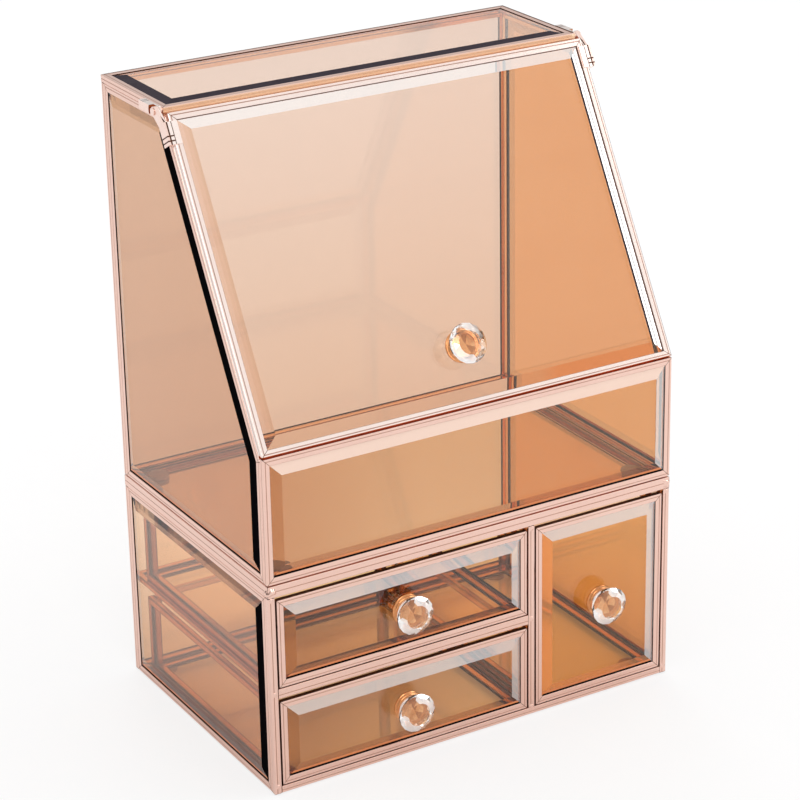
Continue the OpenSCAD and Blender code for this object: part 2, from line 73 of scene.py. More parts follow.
LID_A = math.atan2(LID_RISE[1], LID_RISE[0])
LID_LEN = math.hypot(*LID_RISE)
LID_UP = Vector((0, math.cos(LID_A), math.sin(LID_A)))
LID_OUT = Vector((0, -math.sin(LID_A), math.cos(LID_A)))
LID_FOOT_WEB = (LIP_T + EDGE_T) / math.tan(LID_A) + CAME_WEB / 2
SLOPE_IN = LID_T + SLOPE_GAP
SLOPE_Y, SLOPE_Z = FRONT_Y + SLOPE_IN * math.sin(LID_A), FOOT_Z - SLOPE_IN * math.cos(LID_A)
SLOPE_TOP_Y = SLOPE_Y + (ROOF_Z - SLOPE_Z) / math.tan(LID_A)
SLOPE_LOW_Z = SLOPE_Z + (IN_FRONT_Y - SLOPE_Y) * math.tan(LID_A)
BAYS = {
    "bottom_drawer": (CAME_FACE - HALF_W, POST_X0, LOWER_FLOOR_Z, MID_Z0),
    "top_drawer": (CAME_FACE - HALF_W, POST_X0, MID_Z1, DECK_Z),
    "tall_drawer": (POST_X1, HALF_W - CAME_FACE, LOWER_FLOOR_Z, DECK_Z),
}

# The camera that fits the photograph: degrees, millimetres and pixels of its 800 pixel frame
CAMERA_ANGLES = (-30.482, 21.703, -1.075)
CAMERA_RIGHT, CAMERA_UP, CAMERA_BACK = 0.337, 174.024, 1494.624
FOCAL_PX, SHIFT_PX, FRAME_PX, SENSOR_MM = 2746.077, 50, 800, 36


def linked(name, data):
    obj = bpy.data.objects.new(name, data)
    bpy.context.scene.collection.objects.link(obj)
    return obj


def camera():
    azimuth, elevation, roll = (math.radians(x) for x in CAMERA_ANGLES)
    level_part = math.cos(elevation)
    back = Vector((math.sin(azimuth) * level_part, -math.cos(azimuth) * level_part, math.sin(elevation)))
    level = Vector((math.cos(azimuth), math.sin(azimuth), 0))
    upright = back.cross(level)
    right = math.cos(roll) * level + math.sin(roll) * upright
    up = math.cos(roll) * upright - math.sin(roll) * level
    data = bpy.data.cameras.new("camera")
    cam = linked("camera", data)
    middle = Vector((0, FRONT_Y + CASE_D / 2, 0))
    cam.matrix_world = Matrix((right, up, back)).transposed().to_4x4()
    cam.matrix_world.translation = (CAMERA_RIGHT * right + CAMERA_UP * up + CAMERA_BACK * back + middle) * MM
    data.sensor_width = SENSOR_MM
    data.lens = FOCAL_PX / FRAME_PX * SENSOR_MM
    data.shift_y = -SHIFT_PX / FRAME_PX
    data.clip_start, data.clip_end = 0.05, 20
    bpy.context.scene.camera = cam


def facing(side, at):
    """Where a flat pane lies: turns (along, up, out of the outer face) into the part's own frame."""
    def place(u, v, w):
        spots = {"front": (u, at - w, v), "back": (-u, at + w, v), "left": (at - w, -u, v),
                 "right": (at + w, u, v), "up": (u, v, at + w)}
        return Vector(spots[side])
    return place


def on_lid(u, v, w):
    c, s = math.cos(LID_A), math.sin(LID_A)
    return Vector((u, FRONT_Y + LID_T * s + v * c - w * s, FOOT_Z - LID_T * c + v * s + w * c))


def box_of(x0, y0, x1, y1):
    return [(x0, y0), (x1, y0), (x1, y1), (x0, y1)]


def across(y0, y1):
    return box_of(-HALF_W, y0, HALF_W, y1)


def flipped(outline):
    return [(-x, y) for x, y in reversed(outline)]


UPPER_SIDE = [(IN_FRONT_Y, UPPER_Z0), (IN_BACK_Y, UPPER_Z0), (IN_BACK_Y, ROOF_Z),
              (SLOPE_TOP_Y, ROOF_Z), (IN_FRONT_Y, SLOPE_LOW_Z)]
LOWER_SIDE = box_of(IN_FRONT_Y, LOWER_Z0, IN_BACK_Y, DECK_Z)
DIVIDER = box_of(IN_FRONT_Y, LOWER_FLOOR_Z, IN_BACK_Y, DECK_Z)
FLOOR = box_of(-IN_X, IN_FRONT_Y, IN_X, IN_BACK_Y)
SHELF = box_of(-IN_X, IN_FRONT_Y, POST_X - CAME_T / 2 - SEAM, IN_BACK_Y)


def inset(p, d):
    """The outline moved in by its own distance from each edge."""
    out = []
    for i in range(len(p)):
        a, b, c = Vector(p[i - 1]), Vector(p[i]), Vector(p[(i + 1) % len(p)])
        e, f = (b - a).normalized(), (c - b).normalized()
        na, nb = Vector((-e.y, e.x)), Vector((-f.y, f.x))
        da, db = d[i - 1], d[i]
        k = na.x * nb.y - na.y * nb.x
        out.append(b + Vector((da * nb.y - db * na.y, db * na.x - da * nb.x)) / k)
    return out


# Shader nodes
def shader(name):
    m = bpy.data.materials.new(name)
    m.use_nodes = True
    m.node_tree.nodes.clear()
    return m, m.node_tree


def add(nt, kind, inputs=None):
    """A new node whose inputs take a value each, or a link when the value is a socket."""
    n = nt.nodes.new("ShaderNode" + kind)
    if kind == "Mix":
        n.data_type = "RGBA"
    for key, value in (inputs or {}).items():
        if isinstance(value, bpy.types.NodeSocket):
            nt.links.new(value, n.inputs[key])
        else:
            n.inputs[key].default_value = value
    return n


def maths(nt, operation, a, b=0.0, c=0.0):
    n = add(nt, "Math", {0: a, 1: b, 2: c})
    n.operation = operation
    return n.outputs[0]


def mixed(nt, factor, a, b):
    return add(nt, "Mix", {0: factor, 6: a, 7: b}).outputs[2]


def spread(nt, value, low, high, to_low=0.0, to_high=1.0):
    return add(nt, "MapRange", {0: value, 1: low, 2: high, 3: to_low, 4: to_high}).outputs[0]


def noise(nt, vector, scale, detail=2.0, rough=0.5):
    inputs = {"Vector": vector, "Scale": scale, "Detail": detail, "Roughness": rough}
    return add(nt, "TexNoise", inputs).outputs[0]


def in_object(nt):
    return add(nt, "TexCoord").outputs["Object"]


def bumped(nt, height, strength, distance):
    return add(nt, "Bump", {"Strength": strength, "Distance": distance, "Height": height}).outputs[0]


def rgb(colour):
    return (*colour, 1.0)


def principled(nt, colour, roughness, metallic, **sockets):
    inputs = {"Base Color": colour, "Roughness": roughness, "Metallic": metallic}
    inputs.update(sockets)
    return add(nt, "BsdfPrincipled", inputs)


def finish_material(nt, surface):
    out = nt.nodes.new("ShaderNodeOutputMaterial")
    nt.links.new(surface, out.inputs["Surface"])


# How far the metals' streaks and slow patches pull their colour and gloss: from, to, least, most
STREAKS, PATCHES, STREAK_GLOSS = (0.3, 0.7, 0.0, 0.6), (0.4, 0.75, 0.0, 0.4), (0.25, 0.75)
METAL_BUMP = (0.06, 0.00002)
GRAIN_DETAIL, GRAIN_ROUGH = 3.0, 0.6
# Soldered mitres: their colour and strength, and how unevenly far they run along a length
JOINT_COLOUR, JOINT_SHARE = (0.16, 0.07, 0.045), 0.8
JOINT_RUN, JOINT_LEAST, JOINT_EDGE = 0.0022, 0.0006, (0.6, 1.3)


def metal_from(nt, grain, blotch, light, dark, gloss, joint=None):
    """Brushed metal: colour and gloss follow fine streaks and slow patches."""
    colour = mixed(nt, spread(nt, grain, *STREAKS), rgb(light), rgb(dark))
    colour = mixed(nt, spread(nt, blotch, *PATCHES), colour, rgb(dark))
    if joint is not None:
        colour = mixed(nt, joint, colour, rgb(JOINT_COLOUR))
    rough = spread(nt, grain, *STREAK_GLOSS, *gloss)
    p = principled(nt, colour, rough, 1.0, Normal=bumped(nt, grain, *METAL_BUMP))
    finish_material(nt, p.outputs[0])


def came_metal(name, light, dark, gloss):
    """Rose gold channel: streaks run along each length, and the soldered mitres are dark."""
    m, nt = shader(name)
    uv = add(nt, "UVMap")
    uv.uv_map = "rail"
    along = add(nt, "SeparateXYZ", {0: uv.outputs[0]}).outputs[0]
    stretched = add(nt, "Mapping", {"Vector": uv.outputs[0], "Scale": (1.2, 260.0, 1.0)}).outputs[0]
    grain = noise(nt, stretched, 1.0, GRAIN_DETAIL, GRAIN_ROUGH)
    obj = in_object(nt)
    blotch = noise(nt, obj, 38.0, 3.0)
    reach = maths(nt, "MULTIPLY_ADD", noise(nt, obj, 900.0, 1.0), JOINT_RUN, JOINT_LEAST)
    far = spread(nt, maths(nt, "DIVIDE", along, reach), *JOINT_EDGE)
    joint = maths(nt, "MULTIPLY", maths(nt, "SUBTRACT", 1.0, far), JOINT_SHARE)
    metal_from(nt, grain, blotch, light, dark, gloss, joint)
    return m


def plain_metal(name, light, dark, gloss, scale=(60.0, 60.0, 900.0)):
    m, nt = shader(name)
    obj = in_object(nt)
    stretched = add(nt, "Mapping", {"Vector": obj, "Scale": scale}).outputs[0]
    grain = noise(nt, stretched, 1.0, GRAIN_DETAIL, GRAIN_ROUGH)
    metal_from(nt, grain, noise(nt, obj, 160.0), light, dark, gloss)
    return m


# Glass: scales of its slow and its fine unevenness, its bump, its coat and what lamps keep in it
SLOW_SCALE, FINE_SCALE, GLASS_BUMP = 9.0, 420.0, (0.02, 0.0002)
COAT_ROUGH, LAMP_SHARE = 0.03, 0.97


def glass(name, tint, ior=1.54, rough=0.004, coat_ior=None, weight=1.0, drift=0.04,
                   low=None, span=(0.12, 0.33), axis=2):
    """Tinted glass, and for bevels a bright coat. A pane whose low tint is given shades into that tint
    towards the low end of the span on an axis, as painted light and shade."""
    m, nt = shader(name)
    obj = in_object(nt)
    slow = noise(nt, obj, SLOW_SCALE)
    fine = noise(nt, obj, FINE_SCALE)
    deeper = [c ** (1.0 + 4 * drift) for c in tint]
    colour = mixed(nt, slow, rgb(tint), rgb(deeper))
    if low:
        height = add(nt, "SeparateXYZ", {0: obj}).outputs[axis]
        colour = mixed(nt, spread(nt, height, span[1], span[0]), colour, rgb(low))
    gloss = spread(nt, fine, 0.3, 0.7, rough * 0.5, rough * 1.5)
    sockets = {"IOR": ior, "Transmission Weight": weight, "Normal": bumped(nt, slow, *GLASS_BUMP)}
    if coat_ior:
        sockets.update({"Coat Weight": 1.0, "Coat IOR": coat_ior, "Coat Roughness": COAT_ROUGH})
    clear_to_light(nt, principled(nt, colour, gloss, 0.0, **sockets), tint)
    return m


def clear_to_light(nt, p, tint):
    """Lamps and gathered light pass through the surface, tinted, and every other ray meets it."""
    clear = add(nt, "BsdfTransparent", {0: rgb([c ** 0.5 * LAMP_SHARE for c in tint])})
    path = nt.nodes.new("ShaderNodeLightPath")
    passing = maths(nt, "MAXIMUM", path.outputs["Is Shadow Ray"], path.outputs["Is Diffuse Ray"])
    mix = add(nt, "MixShader", {0: passing, 1: p.outputs[0], 2: clear.outputs[0]})
    finish_material(nt, mix.outputs[0])


def mirror(name, tint, deeper):
    """Mirrored amber glass, which lamps and gathered light still pass."""
    m, nt = shader(name)
    obj = in_object(nt)
    slow = noise(nt, obj, SLOW_SCALE)
    gloss = spread(nt, noise(nt, obj, FINE_SCALE), 0.3, 0.7, 0.01, 0.03)
    colour = mixed(nt, slow, rgb(tint), rgb(deeper))
    clear_to_light(nt, principled(nt, colour, gloss, 1.0, Normal=bumped(nt, slow, *GLASS_BUMP)), tint)
    return m


def opaque(name, light, dark, scale, gloss, **sockets):
    m, nt = shader(name)
    n = noise(nt, in_object(nt), scale, 4.0)
    sockets["Normal"] = bumped(nt, n, 0.3, 0.0003)
    p = principled(nt, mixed(nt, n, rgb(light), rgb(dark)), spread(nt, n, 0.3, 0.7, *gloss), 0.0, **sockets)
    finish_material(nt, p.outputs[0])
    return m


# Channels. The order of the finishes is the order of the names of their indexes.
came = came_metal("rose_gold_came", (0.87, 0.61, 0.52), (0.81, 0.53, 0.44), (0.15, 0.24))
# The lid's channel is a lighter copy of the same metal: painted light.
lid_came_painted_light = came_metal("painted_light_lid_came", (0.97, 0.84, 0.78), (0.90, 0.72, 0.65), (0.12, 0.2))
# Painted light and shade among these: the near-black side is painted shade for gaps, mouths and dark rims,
# the amber-lit and bright inner ones are painted light through the amber glass, the shaded inner one is
# painted shade, and the red side is painted red-brown shade of the gap under the lid.
FINISHES = [
    came,
    came_metal("painted_shade_came_side", (0.10, 0.036, 0.018), (0.045, 0.016, 0.009), (0.4, 0.6)),
    came_metal("amber_lit_inner_came", (0.84, 0.44, 0.20), (0.64, 0.29, 0.12), (0.16, 0.28)),
    came_metal("amber_lit_came", (0.99, 0.74, 0.52), (0.93, 0.62, 0.41), (0.2, 0.34)),
    came_metal("came_groove", (0.62, 0.37, 0.29), (0.40, 0.21, 0.15), (0.25, 0.4)),
    came_metal("shaded_inner_came", (0.34, 0.14, 0.07), (0.17, 0.065, 0.03), (0.2, 0.34)),
    came_metal("bright_inner_came", (1.0, 0.62, 0.32), (0.92, 0.49, 0.21), (0.14, 0.24)),
    came_metal("painted_red_shade_came_side", (0.68, 0.16, 0.03), (0.34, 0.05, 0.01), (0.2, 0.34)),
]
OUTER, GAP, INNER, WARM, GROOVE, SHADED, LIT, PAINTED_RED_SHADE = range(len(FINISHES))

# Other metals: an even grain for the hinges, and the gloss and grain of the crystals' foil
EVEN, FOIL = (200.0, 200.0, 200.0), ((0.08, 0.3), (330.0, 330.0, 330.0))
# Besides the plain metal: the dark line is painted shade of gaps and painted dark marks, the shade is painted
# shade round the eye, and the strip is a painted highlight.
HINGE_FINISHES = [
    plain_metal("rose_gold_hinge", (0.95, 0.74, 0.66), (0.87, 0.62, 0.53), (0.12, 0.22), EVEN),
    plain_metal("hinge_painted_dark_line", (0.11, 0.04, 0.022), (0.05, 0.02, 0.012), (0.3, 0.45), EVEN),
    plain_metal("hinge_shade", (0.62, 0.27, 0.12), (0.30, 0.11, 0.05), (0.15, 0.3), EVEN),
    plain_metal("hinge_painted_highlight_strip", (1.0, 0.90, 0.85), (0.95, 0.79, 0.72), (0.12, 0.22), EVEN),
]
PLAIN, PAINTED_DARK_LINE, SHADY, PAINTED_HIGHLIGHT = range(len(HINGE_FINISHES))
collar_metal = plain_metal("rose_gold_collar", (0.82, 0.41, 0.19), (0.46, 0.18, 0.07), (0.12, 0.26))
steel = plain_metal("screw_steel", (0.82, 0.82, 0.84), (0.62, 0.62, 0.65), (0.12, 0.3))
# The steel screw's end is painted dark brown: painted shade seen through the crystal.
screw_end_painted_shade = plain_metal("screw_end_painted_shade", (0.30, 0.12, 0.06), (0.12, 0.045, 0.025), (0.2, 0.4))
foil_shade = plain_metal("crystal_seat_shade", (0.60, 0.30, 0.15), (0.34, 0.15, 0.075), *FOIL)
foil = plain_metal("crystal_seat_foil", (0.96, 0.60, 0.34), (0.60, 0.30, 0.14), *FOIL)

# Panes. Each one has the tint that the photograph shows there.
# The tints that differ from pane to pane, and the darker low tints that some panes shade into along an axis,
# are painted light and shade.
AMBER, AMBER_BOX, CALM_IOR = (0.915, 0.80, 0.725), (0.99, 0.91, 0.79), 1.2
amber = glass("amber_glass", AMBER, low=(0.865, 0.68, 0.55))
amber_left = glass("amber_left_glass", (0.72, 0.475, 0.315), low=(0.68, 0.415, 0.255))
amber_right = glass("amber_right_glass", (0.855, 0.45, 0.19))
amber_tall = glass("amber_tall_glass", (0.90, 0.60, 0.255))
amber_low = glass("amber_low_glass", (0.97, 0.80, 0.63), low=(0.69, 0.48, 0.35), span=(-0.10, 0.0), axis=0)
amber_side = glass("amber_side_glass", (0.95, 0.71, 0.55), low=(0.80, 0.49, 0.30), span=(0.01, 0.10))
amber_floor = glass("amber_floor_glass", (0.985, 0.89, 0.73))
amber_top = glass("amber_top_glass", (0.93, 0.775, 0.675))
amber_front = glass("amber_front_glass", (0.86, 0.725, 0.57), low=(0.74, 0.54, 0.40),
                    span=(-0.11, -0.03), axis=0)
amber_upper_floor = glass("amber_upper_floor_glass", (0.99, 0.93, 0.84), ior=CALM_IOR)
amber_mirror = mirror("amber_mirror_glass", (0.96, 0.83, 0.68), (0.90, 0.75, 0.58))
amber_divider = glass("amber_divider_glass", AMBER_BOX, ior=CALM_IOR)
amber_plain = glass("amber_plain_glass", AMBER_BOX, ior=CALM_IOR)

# Bevels and edges of the panes. The coated ones mirror the room, and the opaque ones stand for dark and
# bright bands that the real bevels mirror: painted reflections. The tinted ones are each tinted as their
# bevel looks, painted light and shade, and the panes' edges are painted nearly black as shade.
bevel_white = glass("bevel_white", AMBER, coat_ior=8.0)
bevel_pale = glass("bevel_pale", (0.66, 0.63, 0.64), coat_ior=4.5)
bevel_grey = glass("bevel_grey", (0.62, 0.58, 0.58), coat_ior=2.4)
bevel_blush = glass("bevel_blush", (0.85, 0.60, 0.48))
bevel_tan = glass("bevel_tan", (0.80, 0.53, 0.385))
bevel_foot = glass("bevel_foot", (0.80, 0.365, 0.147), low=(0.72, 0.45, 0.30), span=(0.040, 0.052), axis=0)
bevel_soft = glass("bevel_soft", (0.90, 0.665, 0.545))
bevel_deep = glass("bevel_deep", (0.74, 0.48, 0.32))
bevel_umber = glass("bevel_umber", (0.56, 0.29, 0.115))
bevel_rust = glass("bevel_rust", (0.58, 0.33, 0.16))
bevel_orange = glass("bevel_orange", (0.56, 0.29, 0.13))
bevel_glow = glass("bevel_glow", (0.90, 0.36, 0.10), weight=0.55)
bevel_amber = glass("bevel_amber", (0.78, 0.32, 0.09), weight=0.7)
bevel_brown = glass("bevel_brown", (0.52, 0.28, 0.16))
bevel_veil = opaque("bevel_veil", (0.85, 0.63, 0.52), (0.81, 0.59, 0.48), 30, (0.12, 0.2))
bevel_black = opaque("bevel_black", (0.004, 0.003, 0.004), (0.001, 0.001, 0.001), 200, (0.25, 0.4), IOR=1.02)
bevel_slate = opaque("bevel_slate", (0.045, 0.034, 0.044), (0.028, 0.021, 0.028), 120, (0.25, 0.4), IOR=1.08)
edge_glow = opaque("amber_edge_glow", (0.74, 0.24, 0.075), (0.56, 0.16, 0.045), 90, (0.25, 0.4))
edge_brown = opaque("brown_edge_line", (0.20, 0.075, 0.04), (0.11, 0.04, 0.02), 90, (0.3, 0.5))
edge_dark = opaque("glass_ground_edge", (0.05, 0.018, 0.008), (0.015, 0.006, 0.003), 300, (0.35, 0.6))

# Crystal, and the rubber of the pads and washers
CUT = {"ior": 1.56, "rough": 0.002, "drift": 0.0}
# Painted light among the crystal's finishes: the table's amber tint stands for what shows through it, the
# bright facets carry painted glints, and the dark rim is a painted dark reflection.
CRYSTAL_FINISHES = [
    glass("cut_crystal", (0.985, 0.985, 0.99), **CUT),
    glass("crystal_bright_facet", (1.0, 1.0, 1.0), coat_ior=9.0, **CUT),
    glass("crystal_table", (0.84, 0.64, 0.47), **CUT),
    opaque("crystal_dark_rim", (0.03, 0.018, 0.015), (0.012, 0.008, 0.008), 300, (0.2, 0.35)),
    foil,
    foil_shade,
]
CLEAR, GLINT, TABLE, DARK, SEAT, SEAT_DIM = range(len(CRYSTAL_FINISHES))
rubber = opaque("clear_pad_rubber", (0.60, 0.40, 0.28), (0.46, 0.29, 0.19), 240,
                (0.35, 0.55), **{"Transmission Weight": 0.35})
SCREW_FINISHES = [steel, rubber, screw_end_painted_shade]
SCREW, WASHER_RUBBER, SCREW_END = range(len(SCREW_FINISHES))

# A cut nearer than this to a vertex goes through it, in metres
CUT_NEAR = 1e-7


def cut_mesh(bm, point, way, clear_inner=False):
    return bmesh.ops.bisect_plane(bm, geom=bm.verts[:] + bm.edges[:] + bm.faces[:], dist=CUT_NEAR,
                                  plane_co=point, plane_no=way, clear_inner=clear_inner)


def mesh_object(name, bm, materials):
    mesh = bpy.data.meshes.new(name)
    bm.to_mesh(mesh)
    bm.free()
    for m in materials:
        mesh.materials.append(m)
    return linked(name, mesh)


def add_piece(name, bm, materials, body, slot, replaced, smooth=None):
    obj = mesh_object(name, bm, materials)
    if smooth:
        obj.data.shade_smooth()
        obj.data.set_sharp_from_angle(angle=math.radians(smooth))
    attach(obj, body)
    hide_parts(replaced)
    return obj


def add_new_piece(name, bm, *rest, **options):
    bmesh.ops.recalc_face_normals(bm, faces=bm.faces[:])
    add_piece(name, bm, *rest, **options)


# Section of a channel or a bar: rounding of its edges, its mouth's small chamfer, the share of a face that
# its painted lit line takes, and the shallow groove along its outer face and its side
EDGE_R, MOUTH_CUT, ROUND_AT = 0.35, 0.18, 0.3
LINE_FROM, LINE_TO, SIDE_LINE_FROM, SIDE_LINE_TO = 0.18, 0.82, 0.2, 0.8
GROOVE_W, GROOVE_DEEP, GROOVE_AT, GROOVE_FLAT = 0.24, 0.15, 0.38, 0.4


def outer_face(width, t, far):
    """Points of the outer face, from its far end to its near one, with a shallow groove in it."""
    c, g, floor = width * GROOVE_AT, GROOVE_W, t - GROOVE_DEEP
    return [(far, t, "top"), (c + g, t, "top_groove"), (c + g * GROOVE_FLAT, floor, "top_groove"),
            (c - g * GROOVE_FLAT, floor, "top_groove"), (c - g, t, "top_rim"), (EDGE_R, t, "top_rim"),
            (EDGE_R * ROUND_AT, t - EDGE_R * ROUND_AT, "top_rim")]


def channel_section(face, web, t, slot, inner):
    """Section of a channel: distance in from its outer edge, height out of the face, and the kind
    of surface that starts there."""
    r, near = EDGE_R, EDGE_R * ROUND_AT
    mouth = [(face, slot, "mouth"), (web, slot, "mouth"),
             (web, slot + EDGE_T, "mouth"), (face, slot + EDGE_T, "mouth")]
    if inner:
        top = [(face, t - MOUTH_CUT, "edge"), (face - MOUTH_CUT, t, "edge"), (face * LINE_TO, t, "line"),
               (face * LINE_FROM, t, "edge"), (r, t, "edge"), (near, t - near, "edge")]
        side = [(0, t - r, "edge"), (0, t * SIDE_LINE_TO, "line"), (0, t * SIDE_LINE_FROM, "edge"),
                (0, r, "edge"), (near, near, "edge")]
        back = [(r, 0, "edge"), (face * LINE_FROM, 0, "line"), (face * LINE_TO, 0, "edge"),
                (face - MOUTH_CUT, 0, "edge"), (face, MOUTH_CUT, "mouth")]
        return top + side + back + mouth
    c, g, flat, half = face * GROOVE_AT, GROOVE_W, GROOVE_W * GROOVE_FLAT, t / 2
    top = [(face, t - MOUTH_CUT, "top")] + outer_face(face, t, face - MOUTH_CUT)
    side = [(0, t - r, "side"), (0, half + g, "side_groove"), (GROOVE_DEEP, half + flat, "side_groove"),
            (GROOVE_DEEP, half - flat, "side_groove"), (0, half - g, "side"), (0, r, "side"),
            (near, near, "side")]
    back = [(r, 0, "back"), (c - g, 0, "back_groove"), (c - flat, GROOVE_DEEP, "back_groove"),
            (c + flat, GROOVE_DEEP, "back_groove"), (c + g, 0, "back"),
            (face - MOUTH_CUT, 0, "back"), (face, MOUTH_CUT, "mouth")]
    return top + side + back + mouth


def bar_section(width, t):
    r, near = EDGE_R, EDGE_R * ROUND_AT
    top = [(width, t - r, "top"), (width - near, t - near, "top")] + outer_face(width, t, width - r)
    rest = [(0, t - r), (0, r), (near, near), (r, 0), (width - r, 0), (width - near, near), (width, r)]
    return top + [(d, w, "side") for d, w in rest]


# By kind of surface: mouths get painted shade, the inner channels' lines painted light, and their edges and
# the back grooves painted shade.
FINISH_OF = {"top": OUTER, "top_rim": OUTER, "top_groove": GROOVE, "side": OUTER, "side_groove": GROOVE,
             "back": INNER, "back_groove": SHADED, "mouth": GAP, "line": INNER, "edge": SHADED}
# Finishes that all lengths of some pieces have, and those of single lengths by their number. The upper case's
# inner faces get painted light, and the drawer fronts' sides painted shade of the gaps round them. On the
# top, the front sides get painted light and the right and back rims a painted dark reflection; the front's
# top side gets painted red-brown shade; the floor's mouths get painted light.
UPPER_FINISHES, DRAWER_FRONT_FINISHES = {"line": LIT, "back": LIT}, {"side": GAP, "side_groove": GAP}
OWN_FINISHES = {
    "upper_top_came": {0: {"side": WARM, "side_groove": WARM}, 1: {"top_rim": GAP}, 2: {"top_rim": GAP}},
    "upper_front_came": {2: {"side": PAINTED_RED_SHADE, "side_groove": PAINTED_RED_SHADE}},
    "upper_floor_came": {i: {"mouth": WARM} for i in range(4)},
}
# Pieces whose channel is seen from inside, along with those of the drawers' boxes
INNER_CAMES = ("shelf_came", "divider_came", "lower_bottom_came", "upper_floor_came")
# Distances from a length's end at which it has more points, and its texture's size and offset
STATION_MM = [0, 0.35, 1.2, 3.5]
UV_PER_MM, SEED_RANGE = 0.01, 3


def sweep(bm, uv, section, start, end, finish_of=FINISH_OF):
    """A bar: section points at both ends and at stations between, with its own UVs."""
    seed = random.random() * SEED_RANGE
    length = (end(0, 0) - start(0, 0)).length
    stations = [x / length for x in STATION_MM] + [0.5] + [1 - x / length for x in reversed(STATION_MM)]
    n = len(section)
    run, arc = 0.0, [0.0]
    for i in range(n):
        a, b = section[i], section[(i + 1) % n]
        run += math.hypot(b[0] - a[0], b[1] - a[1])
        arc.append(run)
    rings = []
    for s in stations:
        rings.append([bm.verts.new((start(d, w) * (1 - s) + end(d, w) * s) * MM) for d, w, kind in section])
    for k in range(len(rings) - 1):
        u0, u1 = (min(s, 1 - s) * length * UV_PER_MM for s in (stations[k], stations[k + 1]))
        for i in range(n):
            j = (i + 1) % n
            f = bm.faces.new((rings[k][i], rings[k][j], rings[k + 1][j], rings[k + 1][i]))
            v0, v1 = (arc[m] * UV_PER_MM + seed for m in (i, i + 1))
            f.material_index = finish_of[section[i][2]]
            for loop, spot in zip(f.loops, ((u0, v0), (u0, v1), (u1, v1), (u1, v0))):
                loop[uv].uv = spot
    for ring in (rings[0], rings[-1]):
        f = bm.faces.new(ring)
        for loop in f.loops:
            loop[uv].uv = (0.0, seed)


def add_channels(bm, uv, inner, finish_of, own, place, outline, t=CAME_T, faces=None, webs=None):
    """Mitred lengths of channel, one along each edge of the outline and a hairline apart. The
    finishes of a single length are in own, by its number."""
    n = len(outline)
    faces, webs = faces or [CAME_FACE] * n, webs or [CAME_WEB] * n
    slot = t - LIP_T - EDGE_T
    p, q = [Vector(x) for x in outline], inset(outline, faces)
    for i in range(n):
        j = (i + 1) % n
        step = (p[j] - p[i]).normalized() * SEAM

        def start(d, w, i=i, step=step):
            a = p[i].lerp(q[i], d / faces[i]) + step
            return place(a.x, a.y, w)

        def end(d, w, i=i, j=j, step=step):
            b = p[j].lerp(q[j], d / faces[i]) - step
            return place(b.x, b.y, w)

        section = channel_section(faces[i], webs[i], t, slot, inner)
        sweep(bm, uv, section, start, end, {**finish_of, **own.get(i, {})})


# Drops of solder at the two front corners of the deck's channel and over the front frame's joints
CORNER_DROP, CORNER_DROP_IN, CORNER_DROP_UP = (3.2, 3.2, 2.9), 2.3, 3.0
JOINT_DROP, JOINT_DROP_IN = (1.5, 0.75, 1.7), 0.5
TOP_JOINT_DOWN, POST_JOINT_UP = 1.6, 0.4


def add_solder(bm, uv, centre, size, seed):
    """A small uneven drop of solder that has run over a joint."""
    first = len(bm.faces)
    for v in bmesh.ops.create_icosphere(bm, subdivisions=3, radius=1.0)["verts"]:
        x, y, z = v.co
        lump = 1 + 0.16 * math.sin(3.1 * x + seed) * math.cos(2.7 * z - seed)
        lump += 0.08 * math.sin(6.0 * y + 5.0 * z + seed)
        v.co = (Vector(centre) + Vector([way * reach * lump for way, reach in zip((x, y, z), size)])) * MM
    bm.faces.ensure_lookup_table()
    for f in bm.faces[first:]:
        f.smooth = True
        for loop in f.loops:
            loop[uv].uv = (1.0, seed + loop.vert.co.z * 10)


def came_mesh(node, frames, inner=False, shared=None):
    """The channels of one piece, and for the deck's channel the solder on its front corners."""
    random.seed(node)
    bm = bmesh.new()
    uv = bm.loops.layers.uv.new("rail")
    finish_of = {**FINISH_OF, **(shared or {})}
    for channel in frames:
        add_channels(bm, uv, inner, finish_of, OWN_FINISHES.get(node, {}), *channel)
    if node == "lower_top_came":
        for side in (-1, 1):
            centre = (side * (HALF_W - CORNER_DROP_IN), FRONT_Y + CORNER_DROP_IN, DECK_Z + CORNER_DROP_UP)
            add_solder(bm, uv, centre, CORNER_DROP, 2.0 + side)
    return bm


def add_came(node, body, frames, *rest):
    add_new_piece(node + "_lengths", came_mesh(node, frames, *rest), FINISHES, body, "came", node)


def front_of(bay):
    return box_of(bay[0] + SIDE_GAP, bay[2] + BOTTOM_GAP, bay[1] - SIDE_GAP, bay[3] - TOP_GAP)


def box_frames(bay):
    """Frames of a drawer's box: its two sides, its back and its floor."""
    x0, x1 = bay[0] + SIDE_GAP + BOX_INSET, bay[1] - SIDE_GAP - BOX_INSET
    y0, y1 = IN_FRONT_Y + SEAM, IN_BACK_Y - BACK_GAP
    z0, z1 = bay[2] + RUN_GAP, bay[3] - TOP_GAP - BOX_DROP
    side = box_of(y0, z0, y1, z1)
    back = box_of(x0 + CAME_T + SEAM, z0, x1 - CAME_T - SEAM, z1)
    floor = box_of(x0 + CAME_T + SEAM, y0, x1 - CAME_T - SEAM, y1 - CAME_T - SEAM)
    return [(facing("left", x0 + CAME_T), flipped(side)), (facing("right", x1 - CAME_T), side),
            (facing("back", y1 - CAME_T), flipped(back)), (facing("up", z0), floor)]


def case_of(node):
    return "upper_case" if node.startswith("upper_") else "base"


